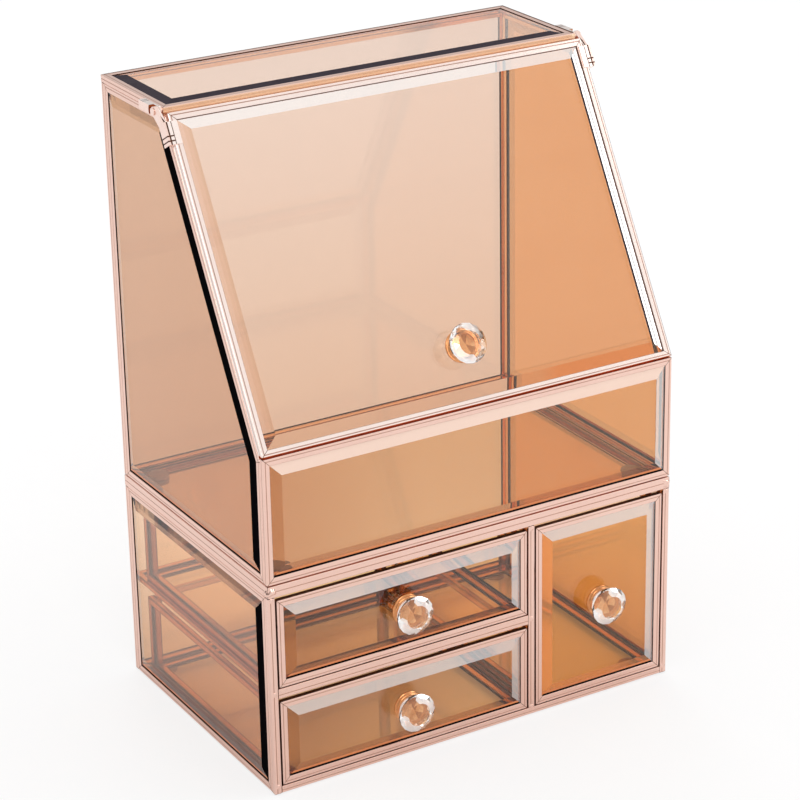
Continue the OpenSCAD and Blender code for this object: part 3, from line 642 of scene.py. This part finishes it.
def case_and_drawer_cames():
    left, right = facing("left", -IN_X), facing("right", IN_X)
    front, rear = facing("front", IN_FRONT_Y), facing("back", IN_BACK_Y)
    plan = {
        "lower_left_came": (left, flipped(LOWER_SIDE)),
        "lower_right_came": (right, LOWER_SIDE),
        "lower_back_came": (rear, across(LOWER_Z0, DECK_Z)),
        "lower_top_came": (facing("up", DECK_Z), across(FRONT_Y, BACK_Y), DECK_CAME_T),
        "lower_bottom_came": (facing("up", LOWER_FLOOR_Z - CAME_T), FLOOR),
        "shelf_came": (facing("up", MID_Z1 - CAME_T), SHELF),
        "divider_came": (facing("right", POST_X - CAME_T / 2), DIVIDER),
        "upper_back_came": (rear, across(UPPER_Z0, ROOF_Z)),
        "upper_left_came": (left, flipped(UPPER_SIDE)),
        "upper_right_came": (right, UPPER_SIDE),
        "upper_top_came": (facing("up", ROOF_Z), across(TOP_FRONT_Y, BACK_Y), TOP_CAME_T),
        "upper_floor_came": (facing("up", UPPER_FLOOR_Z - CAME_T), FLOOR),
        "upper_front_came": (front, across(UPPER_Z0, FRONT_TOP_Z)),
    }
    for node, channel in plan.items():
        shared = UPPER_FINISHES if case_of(node) == "upper_case" else None
        add_came(node, case_of(node), [channel], node in INNER_CAMES, shared)
    for body, bay in BAYS.items():
        add_came(body + "_front_came", body, [(front, front_of(bay))], False, DRAWER_FRONT_FINISHES)
        add_came(body + "_box_came", body, box_frames(bay), True)


def lid_came():
    """The lid's channel. Its foot is cut level, and the lowest strip of it is painted red-brown, painted
    shade of the gap below it.
    """
    faces, webs = [FOOT_SEEN] + [CAME_FACE] * 3, [LID_FOOT_WEB] + [CAME_WEB] * 3
    bm = came_mesh("lid_came", [(on_lid, across(0, LID_LEN), LID_T, faces, webs)])
    cut = cut_mesh(bm, (0, 0, FOOT_Z * MM), (0, 0, 1), clear_inner=True)
    rim = [e for e in cut["geom_cut"] if isinstance(e, bmesh.types.BMEdge) and e.is_boundary]
    bmesh.ops.holes_fill(bm, edges=rim, sides=0)
    # The lowest strip gets painted shade of the gap under the lid.
    edge_z = (FOOT_Z + FOOT_SHADE_STRIP) * MM
    cut_mesh(bm, (0, 0, edge_z), (0, 0, 1))
    for f in bm.faces:
        if f.calc_center_median().z < edge_z:
            f.material_index = PAINTED_RED_SHADE
    add_new_piece("lid_came_lengths", bm, [lid_came_painted_light] + FINISHES[1:], "lid", "came", "lid_came")


def front_frame():
    """The bars round the drawers' openings, with solder on their joints."""
    random.seed("front")
    bm = bmesh.new()
    uv = bm.loops.layers.uv.new("rail")
    place = facing("front", FRONT_Y + CAME_T)

    def upright(x0, x1, z0, z1):
        sweep(bm, uv, bar_section(x1 - x0, CAME_T), lambda d, w: place(x0 + d, z0, w),
              lambda d, w: place(x0 + d, z1, w))

    def level(x0, x1, z0, z1):
        sweep(bm, uv, bar_section(z1 - z0, CAME_T), lambda d, w: place(x0, z0 + d, w),
              lambda d, w: place(x1, z0 + d, w))

    upright(-HALF_W, CAME_FACE - HALF_W, LOWER_Z0, DECK_Z)
    upright(HALF_W - CAME_FACE, HALF_W, LOWER_Z0, DECK_Z)
    level(CAME_FACE - HALF_W + SEAM, HALF_W - CAME_FACE - SEAM, LOWER_Z0, LOWER_FLOOR_Z)
    upright(POST_X0, POST_X1, LOWER_FLOOR_Z + SEAM, DECK_Z)
    level(CAME_FACE - HALF_W + SEAM, POST_X0 - SEAM, MID_Z0, MID_Z1)
    corner_x, top_z = HALF_W - CAME_FACE / 2, DECK_Z - TOP_JOINT_DOWN
    joints = [(-corner_x, top_z), (corner_x, top_z), (POST_X, top_z), (-corner_x, MID_Z), (POST_X, MID_Z),
              (POST_X, LOWER_FLOOR_Z + POST_JOINT_UP), (-corner_x, LOWER_FLOOR_Z), (corner_x, LOWER_FLOOR_Z)]
    for i, (x, z) in enumerate(joints):
        add_solder(bm, uv, (x, FRONT_Y + JOINT_DROP_IN, z), JOINT_DROP, 5.0 + i)
    add_new_piece("lower_front_bars", bm, FINISHES, "base", "came", "lower_front_frame")


# How squarely a face has to look along a direction to be flat, or to look that way at all
FLAT, TOWARDS = 0.998, 0.9
# The lid pane's inner outline at its low edge lies between these heights above that edge
FOOT_FROM, FOOT_TO = 1.0, 12.0


def pane(node, body, out, up, looks, bands=None, slot="bevelled_glass", foot_shift=0.0):
    """The CAD pane's own shape, with a material for its faces, its edge (painted shade, nearly black) and
    each bevel.
    Bands split a bevel into strips: (how far from the pane's own edge the strip ends, material)."""
    out, up = Vector(out), Vector(up)
    side = up.cross(out)
    ways = {"top": up, "bottom": -up, "left": -side, "right": side}
    bm = bmesh.new()
    bm.from_mesh(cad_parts[node].data)
    if foot_shift:
        low = min(v.co.dot(up) for v in bm.verts)
        for v in bm.verts:
            if FOOT_FROM < (v.co.dot(up) - low) / MM < FOOT_TO:
                v.co -= up * foot_shift * MM
    reach = {k: max(v.co.dot(way) for v in bm.verts) / MM for k, way in ways.items()}
    for k, strips in (bands or {}).items():
        for depth, material in strips[:-1]:
            cut_mesh(bm, ways[k] * (reach[k] - depth) * MM, ways[k])
    used = []
    for f in bm.faces:
        height, u, v = (f.normal.dot(axis) for axis in (out, side, up))
        if abs(height) > FLAT:
            material = looks.get("face", amber)
        elif height > TOWARDS:
            k = ("right" if u > 0 else "left") if abs(u) > abs(v) else ("top" if v > 0 else "bottom")
            material = looks.get(k, looks.get("face", amber))
            if bands and k in bands:
                depth = reach[k] - f.calc_center_median().dot(ways[k]) / MM
                material = next((m for limit, m in bands[k] if depth < limit), bands[k][-1][1])
        else:
            material = edge_dark
        if material not in used:
            used.append(material)
        f.material_index = used.index(material)
        f.smooth = False
    add_piece(node.replace("_glass", "_pane"), bm, used, body, slot, node)


def strips(*ends):
    """Strips of a bevel from the channel's edge inwards: (where the strip ends, its material)."""
    return [(CAME_FACE - CAME_WEB + end, material) for end, material in ends]


def panes():
    front, back, left, right, up = (0, -1, 0), (0, 1, 0), (-1, 0, 0), (1, 0, 0), (0, 0, 1)
    foot = ((1.1, bevel_black), (2.3, edge_glow))
    rear = strips((1.0, bevel_black), (BEVEL_W, bevel_rust))
    side_foot = strips(*foot, (BEVEL_W, bevel_rust))
    for case, body, faces, top in (("lower_", "base", (amber_side, amber_side), bevel_brown),
                                   ("upper_", "upper_case", (amber_left, amber_right), bevel_rust)):
        for name, out, ahead, face in (("left", left, "right", faces[0]), ("right", right, "left", faces[1])):
            looks = {"face": face, "top": top, ahead: bevel_black}
            pane(case + name + "_glass", body, out, up, looks, {"bottom": side_foot, name: rear})
    looks = {"face": amber_top, "bottom": bevel_slate, "left": bevel_slate, "top": bevel_soft,
             "right": bevel_soft}
    pane("upper_top_glass", "upper_case", up, back, looks)
    front_bands = {"right": strips((1.5, bevel_grey), (BEVEL_W, bevel_pale)),
                   "bottom": strips(*foot, (BEVEL_W, bevel_brown))}
    looks = {"face": amber_front, "top": bevel_veil, "left": bevel_orange}
    pane("upper_front_glass", "upper_case", front, up, looks, front_bands)
    lid_bands = {"top": strips((0.5, edge_brown), (BEVEL_W, bevel_white)),
                 "right": strips((0.8, edge_brown), (2.6, bevel_white), (3.6, bevel_grey),
                                 (4.8, bevel_white), (BEVEL_W, bevel_slate)),
                 "left": strips((2.4, bevel_blush), (4.4, bevel_tan), (BEVEL_W, bevel_deep))}
    pane("lid_glass", "lid", LID_OUT, LID_UP, {"bottom": bevel_foot}, lid_bands,
         foot_shift=LID_FOOT_FACE - FOOT_SEEN)
    for body in BAYS:
        looks, bands = {"face": amber_low, "top": bevel_pale, "left": bevel_umber}, front_bands
        if body == "tall_drawer":
            looks = {"face": amber_tall, "top": bevel_pale, "left": bevel_glow}
            bands = {**front_bands, "bottom": strips(*foot, (BEVEL_W, bevel_amber))}
        pane(body + "_front_glass", body, front, up, looks, bands)
    plain = [
        ("lower_back_glass", back, up, amber_floor),
        ("lower_top_glass", up, back, amber_mirror),
        ("lower_bottom_glass", up, back, amber_floor),
        ("shelf_glass", up, back, amber_floor),
        ("divider_glass", right, up, amber_divider),
        ("upper_back_glass", back, up, amber),
        ("upper_floor_glass", up, back, amber_upper_floor),
    ]
    for node, out, way_up, face in plain:
        pane(node, case_of(node), out, way_up, {"face": face}, slot="plain_glass")
    for body in BAYS:
        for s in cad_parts[body + "_box_glass"].material_slots:
            s.material = amber_plain


# A ring of smaller radius than this is a point on the axis
ON_AXIS, ROUND_STEPS, COLLAR_STEPS = 1e-6, 48, 64


def ring_angles(steps, turn=0):
    return [2 * math.pi * (k + turn) / steps for k in range(steps)]


def join_rings(bm, a, b, steps):
    """Faces between two rings, either of which may be a single point."""
    for k in range(steps):
        j = (k + 1) % steps
        quad = [a[k % len(a)], a[j % len(a)], b[j % len(b)], b[k % len(b)]]
        quad = [v for i, v in enumerate(quad) if v not in quad[:i]]
        if len(quad) > 2:
            bm.faces.new(quad)


def revolved(bm, place, profile, steps=ROUND_STEPS):
    """A turned shape: profile is (radius, height) points, closed on the axis or on itself."""
    rings = []
    for r, h in profile:
        if r < ON_AXIS:
            rings.append([bm.verts.new(place(0, 0, h) * MM)])
            continue
        spots = [(r * math.cos(a), r * math.sin(a), h) for a in ring_angles(steps)]
        rings.append([bm.verts.new(place(*spot) * MM) for spot in spots])
    pairs = list(zip(rings, rings[1:]))
    if profile[0][0] > ON_AXIS:
        pairs.append((rings[-1], rings[0]))
    for a, b in pairs:
        join_rings(bm, a, b, steps)


def within(value, spans):
    return any(a < value < b for a, b in spans)


# Rows of a crystal's corners: (how many, radius, height, turn as a share of one step)
CRYSTAL_ROWS = [(16, 6.2, 11.4, 0), (16, 8.6, 10.5, 0.5), (16, 10.4, 9.25, 0), (32, 10.3, 8.6, 0.5),
                (16, 9.0, 5.9, 0), (16, 7.3, 3.4, 0.5), (16, 5.2, 2.75, 0)]
# Heights between its zones, and the turns in degrees at which the facets of a zone stand out: painted glints
# and painted dark reflections
TABLE_ABOVE, CROWN_ABOVE, BAND_ABOVE, BELLY_ABOVE, SEAT_BELOW = 11.3, 9.4, 8.6, 5.9, 2.9
CROWN_GLINTS, BAND_DARKS = ((0, 95), (170, 275)), ((95, 140), (165, 200))
BELLY_DARKS = ((100, 122), (175, 195))
# Its seat is split into sectors, each with the foil's finish or its darker copy, painted shade
SECTOR, SECTOR_FROM, SEAT_CUTS = 45, 20, 4
SEAT_FINISHES = (SEAT, SEAT_DIM, SEAT, SEAT, SEAT, SEAT, SEAT_DIM, SEAT)
# Facets that differ by fewer degrees than this become one
FACET_MERGE = 0.3


def facet_finish(turn, height):
    if height > TABLE_ABOVE:
        return TABLE
    if height > CROWN_ABOVE:
        return GLINT if within(turn, CROWN_GLINTS) else CLEAR
    if height > BAND_ABOVE:
        return DARK if within(turn, BAND_DARKS) else GLINT
    if height > BELLY_ABOVE:
        return DARK if within(turn, BELLY_DARKS) else CLEAR
    if height < SEAT_BELOW:
        return SEAT_FINISHES[int(turn / SECTOR) % len(SEAT_FINISHES)]
    return CLEAR


def crystal_mesh(place):
    """Cut crystal: a flat table, two rows of crown facets, a narrow band and two rows below."""
    bm = bmesh.new()
    for n, radius, h, turn in CRYSTAL_ROWS:
        for a in ring_angles(n, turn):
            bm.verts.new(place(radius * math.cos(a), radius * math.sin(a), h) * MM)
    bmesh.ops.convex_hull(bm, input=bm.verts[:])
    merge_angle = math.radians(FACET_MERGE)
    bmesh.ops.dissolve_limit(bm, angle_limit=merge_angle, verts=bm.verts[:], edges=bm.edges[:])
    centre = place(0, 0, 0)
    along_u, along_v, along_w = (place(*way) - centre for way in ((1, 0, 0), (0, 1, 0), (0, 0, 1)))
    for k in range(SEAT_CUTS):
        a = math.radians(SECTOR * k + SECTOR_FROM)
        seat = [f for f in bm.faces if (f.calc_center_median() / MM - centre).dot(along_w) < SEAT_BELOW]
        parts = dict.fromkeys(part for f in seat for part in (*f.verts, *f.edges, f))
        way = along_u * math.cos(a) + along_v * math.sin(a)
        bmesh.ops.bisect_plane(bm, geom=list(parts), dist=CUT_NEAR, plane_co=centre * MM, plane_no=way)
    for f in bm.faces:
        c = f.calc_center_median() / MM - centre
        u, v, w = (c.dot(axis) for axis in (along_u, along_v, along_w))
        f.material_index = facet_finish(math.degrees(math.atan2(v, u)) % 360, w)
    return bm


# Knob screws: profile of the shaft's end, the head and its cross recess, and the washer's profile
SHAFT_END, SHAFT_R, SCREW_END_ABOVE = [(0, 2.5), (1.6, 2.5), (1.9, 2.2)], 1.9, 2.2
HEAD_R, HEAD_RIM, HEAD_DOME, HEAD_ROWS = 3.5, 0.9, 1.1, 12
CROSS_HALF, CROSS_REACH, CROSS_DEEP, CROSS_STEEP = 0.45, 2.1, 0.9, 4
WASHER_T = 0.8
WASHER = [(2.0, 0), (4.5, 0), (4.6, 0.1), (4.6, 0.7), (4.5, WASHER_T), (2.0, WASHER_T)]
PANE_T = EDGE_T + LIP_T + GLASS_PROUD


def screw_mesh(place):
    """Machine screw seen from inside: a domed head with a cross recess, its shaft, and a washer."""
    bm = bmesh.new()
    washer_z = -PANE_T - SEAM - WASHER_T
    head_z = washer_z - SEAM
    rim_z = head_z - HEAD_RIM
    revolved(bm, place, SHAFT_END + [(SHAFT_R, head_z), (HEAD_R, head_z), (HEAD_R, rim_z)])
    rings = []
    for i in range(HEAD_ROWS + 1):
        r = HEAD_R * (1 - i / HEAD_ROWS)
        dome = rim_z - HEAD_DOME * math.sqrt(max(0.0, 1 - (r / HEAD_R) ** 2))
        ring = []
        for a in ring_angles(ROUND_STEPS):
            x, y = r * math.cos(a), r * math.sin(a)
            off = max(min(abs(x), abs(y)) / CROSS_HALF, (abs(x) + abs(y)) / CROSS_REACH)
            deep = max(0.0, 1 - off ** CROSS_STEEP)
            ring.append(bm.verts.new(place(x, y, dome + CROSS_DEEP * deep) * MM))
            if r < ON_AXIS:
                break
        rings.append(ring)
    for a, b in zip(rings, rings[1:]):
        join_rings(bm, a, b, ROUND_STEPS)
    bmesh.ops.remove_doubles(bm, verts=bm.verts[:], dist=CUT_NEAR)
    centre = place(0, 0, 0)
    for f in bm.faces:
        height = (f.calc_center_median() / MM - centre).dot(place(0, 0, 1) - centre)
        f.material_index = SCREW_END if height > SCREW_END_ABOVE else SCREW
    first = len(bm.faces)
    revolved(bm, place, [(r, washer_z + h) for r, h in WASHER])
    bm.faces.ensure_lookup_table()
    for f in bm.faces[first:]:
        f.material_index = WASHER_RUBBER
    return bm


# Profile of the stepped collar: (radius, height over the pane)
COLLAR = [(2.0, 0), (8.0, 0), (8.2, 0.15), (8.2, 0.6), (8.0, 0.8), (7.3, 0.85), (7.1, 1.0), (7.1, 1.4),
          (6.9, 1.6), (6.2, 1.65), (6.0, 1.8), (6.0, 2.1), (5.8, 2.3), (4.8, 2.35), (4.65, 2.6), (2.0, 2.6)]


def on_lid_pane(u, v, w):
    return on_lid(u, v, w + LID_T + GLASS_PROUD)


def knobs():
    spots = []
    for body, (x0, x1, z0, z1) in BAYS.items():
        middle = ((x0 + x1) / 2, (z0 + BOTTOM_GAP + z1 - TOP_GAP) / 2)
        spots.append((body, facing("front", FRONT_Y - GLASS_PROUD), middle))
    spots.append(("lid", on_lid_pane, (0, LID_KNOB_U)))
    for body, face, (at_u, at_v) in spots:
        def place(u, v, w, face=face, at_u=at_u, at_v=at_v):
            return face(u + at_u, v + at_v, w)

        collar = bmesh.new()
        revolved(collar, place, COLLAR, COLLAR_STEPS)
        for name, bm, finishes, slot, part, smooth in (
                ("_cut_crystal", crystal_mesh(place), CRYSTAL_FINISHES, "crystal", "crystal", None),
                ("_turned_collar", collar, [collar_metal], "knob_collar", "collar", 40),
                ("_cross_screw", screw_mesh(place), SCREW_FINISHES, "screw", "screw", 35)):
            add_new_piece(body + name, bm, finishes, body, slot, body + "_knob_" + part, smooth=smooth)


# Pads: how far their middles lie in from the case, and their profile at the foot and at the top
PAD_IN = 15
PAD_FOOT = [(0, 0), (4.6, 0), (5.2, 0.15), (5.45, 0.5), (5.5, 0.9)]
PAD_TOP = [(5.5, -0.1), (5.4, 0), (0, 0)]


def pads():
    x = HALF_W - PAD_IN
    for node, body, z0, floor_z in (("lower_pads", "base", 0, LOWER_FLOOR_Z),
                                    ("upper_pads", "upper_case", LOWER_Z1 - LIP_T, UPPER_FLOOR_Z)):
        z1 = floor_z - CAME_T + SLOT_Z
        profile = [(r, z0 + h) for r, h in PAD_FOOT] + [(r, z1 + h) for r, h in PAD_TOP]
        bm = bmesh.new()
        for at_x, at_y in box_of(-x, FRONT_Y + PAD_IN, x, BACK_Y - PAD_IN):
            def place(u, v, w, at_x=at_x, at_y=at_y):
                return Vector((at_x + u, at_y + v, w))

            revolved(bm, place, profile)
        add_new_piece(node + "_domed", bm, [rubber], body, "pad", node, smooth=50)


# Hinges: marks across the arm from its foot, slots across the plate from its far end, the lines along the
# arm's corner and the case's side, how far the plate's eye stands out, and worn edges. The lines are painted
# shade of the gaps there, the marks and slots are painted dark, the ring round the plate's eye is painted
# shade, and the arm's outer face and the plate's top get a painted highlight strip.
ARM_MARKS, PLATE_SLOTS = ((1.6, 2.3), (4.0, 4.7)), ((2.6, 2.0), (4.6, 4.0))
CORNER_LINE, SIDE_LINE, BELOW_EYE = (1.9, 1.1), (-0.3, 0.1), 3
EYE_OUT, EYE_ROUND = 1.1, 0.1
WEAR_WIDTH, WEAR_ANGLE = 0.00022, 40


def wear(obj, segments):
    mod = obj.modifiers.new("worn_edges", "BEVEL")
    mod.width, mod.segments = WEAR_WIDTH, segments
    mod.limit_method, mod.angle_limit = "ANGLE", math.radians(WEAR_ANGLE)


def hinge_piece(node, body, name, cuts, finish):
    """The CAD hinge piece's own shape, with worn edges, and its painted dark lines, painted shade and painted
    highlight picked out.
    """
    bm = bmesh.new()
    bm.from_mesh(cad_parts[node].data)
    for way, at in cuts:
        cut_mesh(bm, way * at * MM, way)
    for f in bm.faces:
        f.material_index = finish(f.calc_center_median() / MM, f.normal)
    wear(add_piece(name, bm, HINGE_FINISHES, body, "hinge_metal", node), 2)


def hinges():
    pivot = Vector((0, PIVOT_Y, PIVOT_Z))
    foot = pivot.dot(LID_UP) - ARM_LEN
    marks = [(foot + a, foot + b) for a, b in ARM_MARKS]
    plate_end = PIVOT_Y + PLATE_LEN
    slots = [(plate_end - a, plate_end - b) for a, b in PLATE_SLOTS]
    corner = tuple(HALF_W + HINGE_T - a for a in CORNER_LINE)
    beside = tuple(HALF_W + a for a in SIDE_LINE)

    def arm_finish(c, n):
        faces_out = n.dot(LID_OUT) > TOWARDS and (c - pivot).dot(LID_UP) < -BELOW_EYE
        if faces_out and within(abs(c.x), (corner, beside)):
            return PAINTED_DARK_LINE
        if within(c.dot(LID_UP), marks) and (faces_out or abs(n.x) > TOWARDS) and abs(c.x) > beside[1]:
            return PAINTED_DARK_LINE
        # The arm's outer face gets a painted highlight strip.
        return PAINTED_HIGHLIGHT if faces_out and abs(c.x) < corner[0] else PLAIN

    def plate_finish(c, n):
        r = math.hypot(c.y - PIVOT_Y, c.z - PIVOT_Z)
        if r < EYE_R + PLATE_STEP + EYE_ROUND and abs(c.x) > HALF_W + EYE_OUT:
            return SHADY
        if within(c.y, slots) and n.z > TOWARDS:
            return PAINTED_DARK_LINE
        # The plate's top gets a painted highlight strip.
        return PAINTED_HIGHLIGHT if n.z > TOWARDS else PLAIN

    for side, name in ((-1, "left"), (1, "right")):
        out, back = Vector((side, 0, 0)), Vector((0, 1, 0))
        cuts = [(LID_UP, at) for pair in marks for at in pair] + [(out, at) for at in corner + beside]
        hinge_piece("hinge_arm_" + name, "lid", name + "_hinge_strap", cuts, arm_finish)
        cuts = [(back, at) for pair in slots for at in pair]
        hinge_piece("hinge_plate_" + name, "upper_case", name + "_hinge_leaf", cuts, plate_finish)
    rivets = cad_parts["hinge_rivets"]
    for s in rivets.material_slots:
        s.material = HINGE_FINISHES[PLAIN]
    wear(rivets, 3)


# Studio: what all lamps aim at and their power, how much of the floor glows for each kind of ray,
# the room's least light and its grey, and the least and most height or depth of its bright parts
AIM, LAMP_POWER = (0, 0, 0.15), 9
FLOOR_SEEN, FLOOR_THROUGH, FLOOR_MIRRORED, FLOOR_HALF = 0.72, 0.16, 0.1, 5.0
ROOM_LEAST, ROOM_GREY = 0.05, (0.85, 0.85, 0.86)
DOME_FROM, AHEAD_FROM, BEHIND_FROM = (0.2, 0.6), (-0.2, -0.7), (0.2, 0.7, 0.0, 0.7)
WHITE, MANY_BOUNCES, GLOSSY_BOUNCES = (1, 1, 1), 24, 8


def softbox(name, place, width, height, hidden=False):
    data = bpy.data.lights.new(name, "AREA")
    data.shape, data.size, data.size_y, data.energy = "RECTANGLE", width, height, LAMP_POWER
    obj = linked(name, data)
    obj.location = place
    obj.visible_glossy = not hidden
    obj.visible_transmission = not hidden
    obj.rotation_euler = (Vector(AIM) - Vector(place)).to_track_quat("-Z", "Y").to_euler()


def floor_paper():
    """White paper that glows a little, more to the camera than through glass or in mirrors."""
    m, nt = shader("floor_paper")
    n = noise(nt, in_object(nt), 60.0, 3.0)
    colour = mixed(nt, n, rgb((0.93, 0.93, 0.93)), rgb((0.91, 0.91, 0.91)))
    p = principled(nt, colour, spread(nt, n, 0, 1, 0.75, 0.9), 0.0)
    path = nt.nodes.new("ShaderNodeLightPath")
    white = add(nt, "Emission", {0: rgb(WHITE), 1: 1.0})
    seen = maths(nt, "MULTIPLY", path.outputs["Is Camera Ray"], FLOOR_SEEN)
    for ray, share in (("Is Transmission Ray", FLOOR_THROUGH), ("Is Glossy Ray", FLOOR_MIRRORED)):
        seen = maths(nt, "MAXIMUM", seen, maths(nt, "MULTIPLY", path.outputs[ray], share))
    finish_material(nt, add(nt, "MixShader", {0: seen, 1: p.outputs[0], 2: white.outputs[0]}).outputs[0])
    return m


def studio():
    """A white floor, a room that mirrors show bright above, ahead and behind, and three lamps."""
    bm = bmesh.new()
    bmesh.ops.create_grid(bm, x_segments=8, y_segments=8, size=FLOOR_HALF)
    floor = mesh_object("floor", bm, [floor_paper()])
    world = bpy.data.worlds.new("studio")
    bpy.context.scene.world = world
    world.use_nodes = True
    nt = world.node_tree
    nt.nodes.clear()
    way = add(nt, "SeparateXYZ", {0: add(nt, "TexCoord").outputs["Generated"]})
    dome = spread(nt, way.outputs[2], *DOME_FROM)
    ahead = spread(nt, way.outputs[1], *AHEAD_FROM)
    behind = spread(nt, way.outputs[1], *BEHIND_FROM)
    level = maths(nt, "MAXIMUM", dome, maths(nt, "MAXIMUM", ahead, behind))
    level = maths(nt, "MAXIMUM", level, ROOM_LEAST)
    room = add(nt, "CombineXYZ", {0: level, 1: level, 2: level}).outputs[0]
    path = nt.nodes.new("ShaderNodeLightPath")
    seen = maths(nt, "MAXIMUM", path.outputs["Is Camera Ray"], path.outputs["Is Transmission Ray"])
    colour = mixed(nt, path.outputs["Is Glossy Ray"], rgb(ROOM_GREY), room)
    background = add(nt, "Background", {0: mixed(nt, seen, colour, rgb(WHITE)), 1: 1.0})
    out = nt.nodes.new("ShaderNodeOutputWorld")
    nt.links.new(background.outputs[0], out.inputs[0])
    softbox("key_softbox", (-0.6, -1.6, 1.9), 1.2, 1.2)
    softbox("fill_softbox", (1.7, -1.0, 0.9), 0.9, 1.3)
    softbox("rear_softbox", (0.3, 1.6, 1.5), 1.4, 0.9, hidden=True)


camera()
case_and_drawer_cames()
lid_came()
front_frame()
panes()
knobs()
pads()
hinges()
studio()
bpy.context.scene.view_settings.view_transform = "Standard"
cycles = bpy.context.scene.cycles
cycles.max_bounces = MANY_BOUNCES
cycles.transmission_bounces = MANY_BOUNCES
cycles.transparent_max_bounces = MANY_BOUNCES
cycles.glossy_bounces = GLOSSY_BOUNCES
